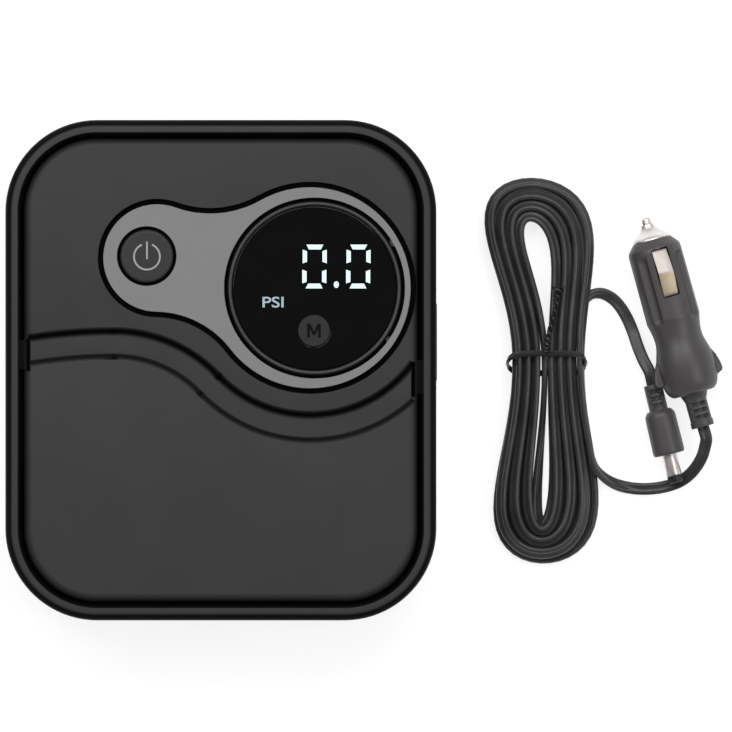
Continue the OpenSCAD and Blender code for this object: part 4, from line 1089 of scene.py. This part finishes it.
LENS_TOP = 52.4
SLANT = 0.02


def digit_places(cx, cy):
    """Centres and turns of the six lit segments of a nought, leaning a little: its ends, then its sides."""
    places = [((cx, cy + 7.0), math.pi), ((cx, cy - 7.0), 0.0)]
    places += [((cx + side * 3.55, cy + up * 3.6), side * math.pi / 2) for side in (-1, 1) for up in (-1, 1)]
    return [((x + SLANT * (y - cy), y), turn) for (x, y), turn in places]


def make_digits():
    tree = segment_tree()
    noughts = [digit_places(33.7, 37.25), digit_places(49.45, 37.25)]
    ends = [p for places in noughts for p in places[:2]]
    sides = [p for places in noughts for p in places[2:]]
    meshes = []
    for group, length, width, taper in ((ends, 6.1, 1.75, 0.3), (sides, 4.9, 1.55, 0.22)):
        spots = [(x * MM, y * MM, (LENS_TOP + 0.02) * MM) for (x, y), turn in group]
        base = base_points("digit_points", spots, "turn", [turn for place, turn in group])
        meshes.append(grow("digit_bars", tree, base, {
            "Length": length * MM, "Width": width * MM, "Height": 0.00004, "Taper": taper, "Material": LIT}))
    dot = [(41.55 + 0.92 * math.cos(a) - 0.02, 30.75 + 1.2 * math.sin(a))
           for a in [2 * math.pi * k / 20 for k in range(20)]]
    meshes.append(plate("digit_dot", dot, LENS_TOP, LENS_TOP + 0.04))
    add_piece("display_digits", join("display_digits", meshes), "inflator", LIT)


def make_unit_mark():
    """Raised plain letters of the unit, 0.05 mm thick, on the lens."""
    curve = bpy.data.curves.new("unit_mark", "FONT")
    curve.body = "PSI"
    curve.size = 0.005
    curve.offset = 0.00005
    curve.extrude = 0.000025
    mesh = settle(add_object("unit_mark", curve), "unit_mark")
    low = [min(v.co[i] for v in mesh.vertices) for i in range(2)]
    high = [max(v.co[i] for v in mesh.vertices) for i in range(2)]
    left, bottom, wide, tall = 15.0, 22.5, 7.6, 3.9
    scale = [wide * MM / (high[0] - low[0]), tall * MM / (high[1] - low[1])]
    mesh.transform(Matrix.Translation((left * MM, bottom * MM, (LENS_TOP + 0.02) * MM))
                   @ Matrix.Diagonal((scale[0], scale[1], 1, 1)) @ Matrix.Translation((-low[0], -low[1], 0)))
    add_piece("unit_mark", tidy_mesh(mesh), "inflator", UNIT)


def make_mode_mark():
    """Plain capital M on the mode key."""
    letter = [(-2.45, 0), (-1.5, 0), (-1.5, 3.2), (-0.4, 0.9), (0.4, 0.9), (1.5, 3.2), (1.5, 0),
              (2.45, 0), (2.45, 5), (1.35, 5), (0, 2.2), (-1.35, 5), (-2.45, 5)]
    top = 52.6
    mesh = plate("mode_mark", [(33.5 + x, 11.7 + y) for x, y in letter], top, top + 0.05)
    add_piece("mode_mark", mesh, "mode_button", DARK_MARK)


def make_power_mark():
    """Broken circle with an upright bar in its gap, on the power button."""
    cx, cy, top = -26.5, 40.8, 53.1
    thick = 0.04
    arc = [math.radians(90 + 23 + (360 - 46) * k / 60) for k in range(61)]
    ring = [(cx + 4.95 * math.cos(a), cy + 4.95 * math.sin(a)) for a in arc]
    ring += [(cx + 4.35 * math.cos(a), cy + 4.35 * math.sin(a)) for a in reversed(arc)]
    bar = [(cx - 0.3, cy - 0.9), (cx + 0.3, cy - 0.9), (cx + 0.3, cy + 5.4), (cx - 0.3, cy + 5.4)]
    meshes = [plate("mark_ring", ring, top, top + thick), plate("mark_bar", bar, top, top + thick)]
    add_piece("power_mark", join("power_mark", meshes), "power_button", MARK)


def make_lens_ring():
    """Ring round the lens, with a narrow crest and a deep outer flank."""
    outline = [(50.05, 29.4), (52.2, 29.4), (52.6, 29.6), (52.85, 29.85), (53.02, 30.1), (53.1, 30.35),
               (53.08, 30.6), (52.95, 30.85), (52.6, 31.15), (52, 31.35), (51.2, 31.5), (50.05, 31.55)]
    upright = Matrix.Translation(Vector((33.7, 29.5, 0)) * MM) @ Matrix.Rotation(-math.pi / 2, 4, "Y")
    add_piece("lens_ring", turned("lens_ring", outline, upright), "inflator", RING,
              ["display_ring"])


make_lens_ring()
make_digits()
make_unit_mark()
make_mode_mark()
make_power_mark()


# ---- soft edges

def softened(node, name, body, material, width):
    """A copy of a part of the model with its sharp edges rounded, shown in its place."""
    bm = bmesh.new()
    bm.from_mesh(nodes[node].data)
    bmesh.ops.remove_doubles(bm, verts=bm.verts, dist=1e-6)
    bmesh.ops.dissolve_limit(bm, angle_limit=math.radians(0.5), verts=bm.verts, edges=bm.edges)
    mesh = bpy.data.meshes.new(name)
    bm.to_mesh(mesh)
    bm.free()
    add_piece(name, rounded(name, mesh, width), body, material, [node], sharp=10)


softened("bezel", "bezel_plate", "inflator", BEZEL, 0.35)
softened("display_lens", "lens", "inflator", GLASS, 0.18)
softened("port_panel", "port_plate", "inflator", CASE, 0.25)
softened("front_cover", "front_shell", "inflator", CASE, 0.3)


# ---- light and floor

def add_lamp(name, place, size, power):
    data = bpy.data.lights.new(name, "AREA")
    data.shape = "SQUARE"
    data.size = size
    data.energy = power
    lamp = bpy.data.objects.new(name, data)
    lamp.location = place
    target = Vector((0.05, 0, 0.02))
    lamp.rotation_mode = "QUATERNION"
    lamp.rotation_quaternion = (target - Vector(place)).to_track_quat("-Z", "Y")
    lamp.visible_camera = False
    scene.collection.objects.link(lamp)


def light_up():
    """Three lamps, and a white room whose light comes mostly from overhead."""
    add_lamp("top_lamp", (0.42, 1.0, 1.5), 0.9, 11)
    add_lamp("left_lamp", (-0.4, 0.42, 0.95), 0.6, 4)
    add_lamp("right_lamp", (1.0, -0.1, 1.2), 0.6, 4)
    world = bpy.data.worlds.new("studio")
    world.use_nodes = True
    n = Nodes(world.node_tree)
    background = n.tree.nodes["Background"]
    background.inputs["Color"].default_value = (1, 1, 1, 1)
    path = n.node("ShaderNodeLightPath").outputs
    height = n.axes(n.node("ShaderNodeTexCoord").outputs["Generated"])["Z"]
    # what metal mirrors is a bright wall under a dark ceiling
    overhead = n.ranged(height, 0.1, 0.5, 0.0, 0.9)
    wall = n.ranged(height, 0.6, 0.04, 0.1, 0.8)
    either = n.node("ShaderNodeMix", {0: path["Is Glossy Ray"], 2: overhead, 3: wall}).outputs[0]
    level = n.node("ShaderNodeMix", {0: path["Is Camera Ray"], 2: either, 3: 1.0}).outputs[0]
    n.link(level, background.inputs["Strength"])
    scene.world = world


def lay_floor():
    """White ground that takes soft shadows and mirrors as a bright table does."""
    size = 6.0
    mesh = bpy.data.meshes.new("floor")
    corners = [(-size, -size, 0), (size, -size, 0), (size, size, 0), (-size, size, 0)]
    mesh.from_pydata(corners, [], [(0, 1, 2, 3)])
    floor = add_object("floor", mesh)
    floor.location.z = -0.0001
    material = bpy.data.materials.new("floor_finish")
    material.use_nodes = True
    n = Nodes(material.node_tree)
    n.tree.nodes.clear()
    path = n.node("ShaderNodeLightPath").outputs
    mirrored = n.maths("MAXIMUM", path["Is Glossy Ray"], path["Is Transmission Ray"])
    seen = n.maths("MAXIMUM", path["Is Camera Ray"], mirrored)
    matte = n.node("ShaderNodeBsdfDiffuse", {"Color": (0.35, 0.35, 0.35, 1)})
    glow = n.node("ShaderNodeEmission", {"Strength": n.times(seen, 0.8)})
    both = n.node("ShaderNodeAddShader", {0: matte.outputs[0], 1: glow.outputs[0]})
    n.node("ShaderNodeOutputMaterial", {"Surface": both.outputs[0]})
    mesh.materials.append(material)


light_up()
lay_floor()


# ---- finish of the model's own parts

def dress():
    """Gives every part of the model its material."""
    finishes = [
        (CASE, "rear_cover front_cover port_panel"),
        (BEZEL, "bezel"),
        (RING, "display_ring"),
        (GLASS, "display_lens"),
        (KEY, "power_button"),
        (MODE_KEY, "mode_button"),
        (IVORY, "power_plunger mode_plunger motor_end_cap"),
        (BOARD, "control_board"),
        (DARK, "button_switches led_display pressure_sensor dc_jack dc_plug_insulator cooling_fan"),
        (STEEL, "board_screws housing_screws head_screws car_plug_screw motor_shaft gear_axle wrist_pin"),
        (STEEL, "motor_can gear_frame"),
        (RUBBER, "rubber_feet piston_seal"),
        (BRASS, "outlet_fitting drive_pinion valve_plate"),
        (SILICONE, "air_tube"),
        (MAGNET, "motor_magnets"),
        (COPPER, "armature"),
        (NYLON, "crank_gear"),
        (ALLOY, "connecting_rod piston pump_cylinder cylinder_head"),
        (PLUG, "dc_plug_grip dc_strain_relief car_plug_upper car_plug_lower car_strain_relief"),
        (NICKEL, "dc_jack_pin dc_plug_barrel nose_cap tip_contact side_contact_upper side_contact_lower"),
        (FUSE, "fuse"),
    ]
    for material, names in finishes:
        for name in names.split():
            for place in nodes[name].material_slots:
                place.material = material


dress()

scene.view_settings.view_transform = "Standard"
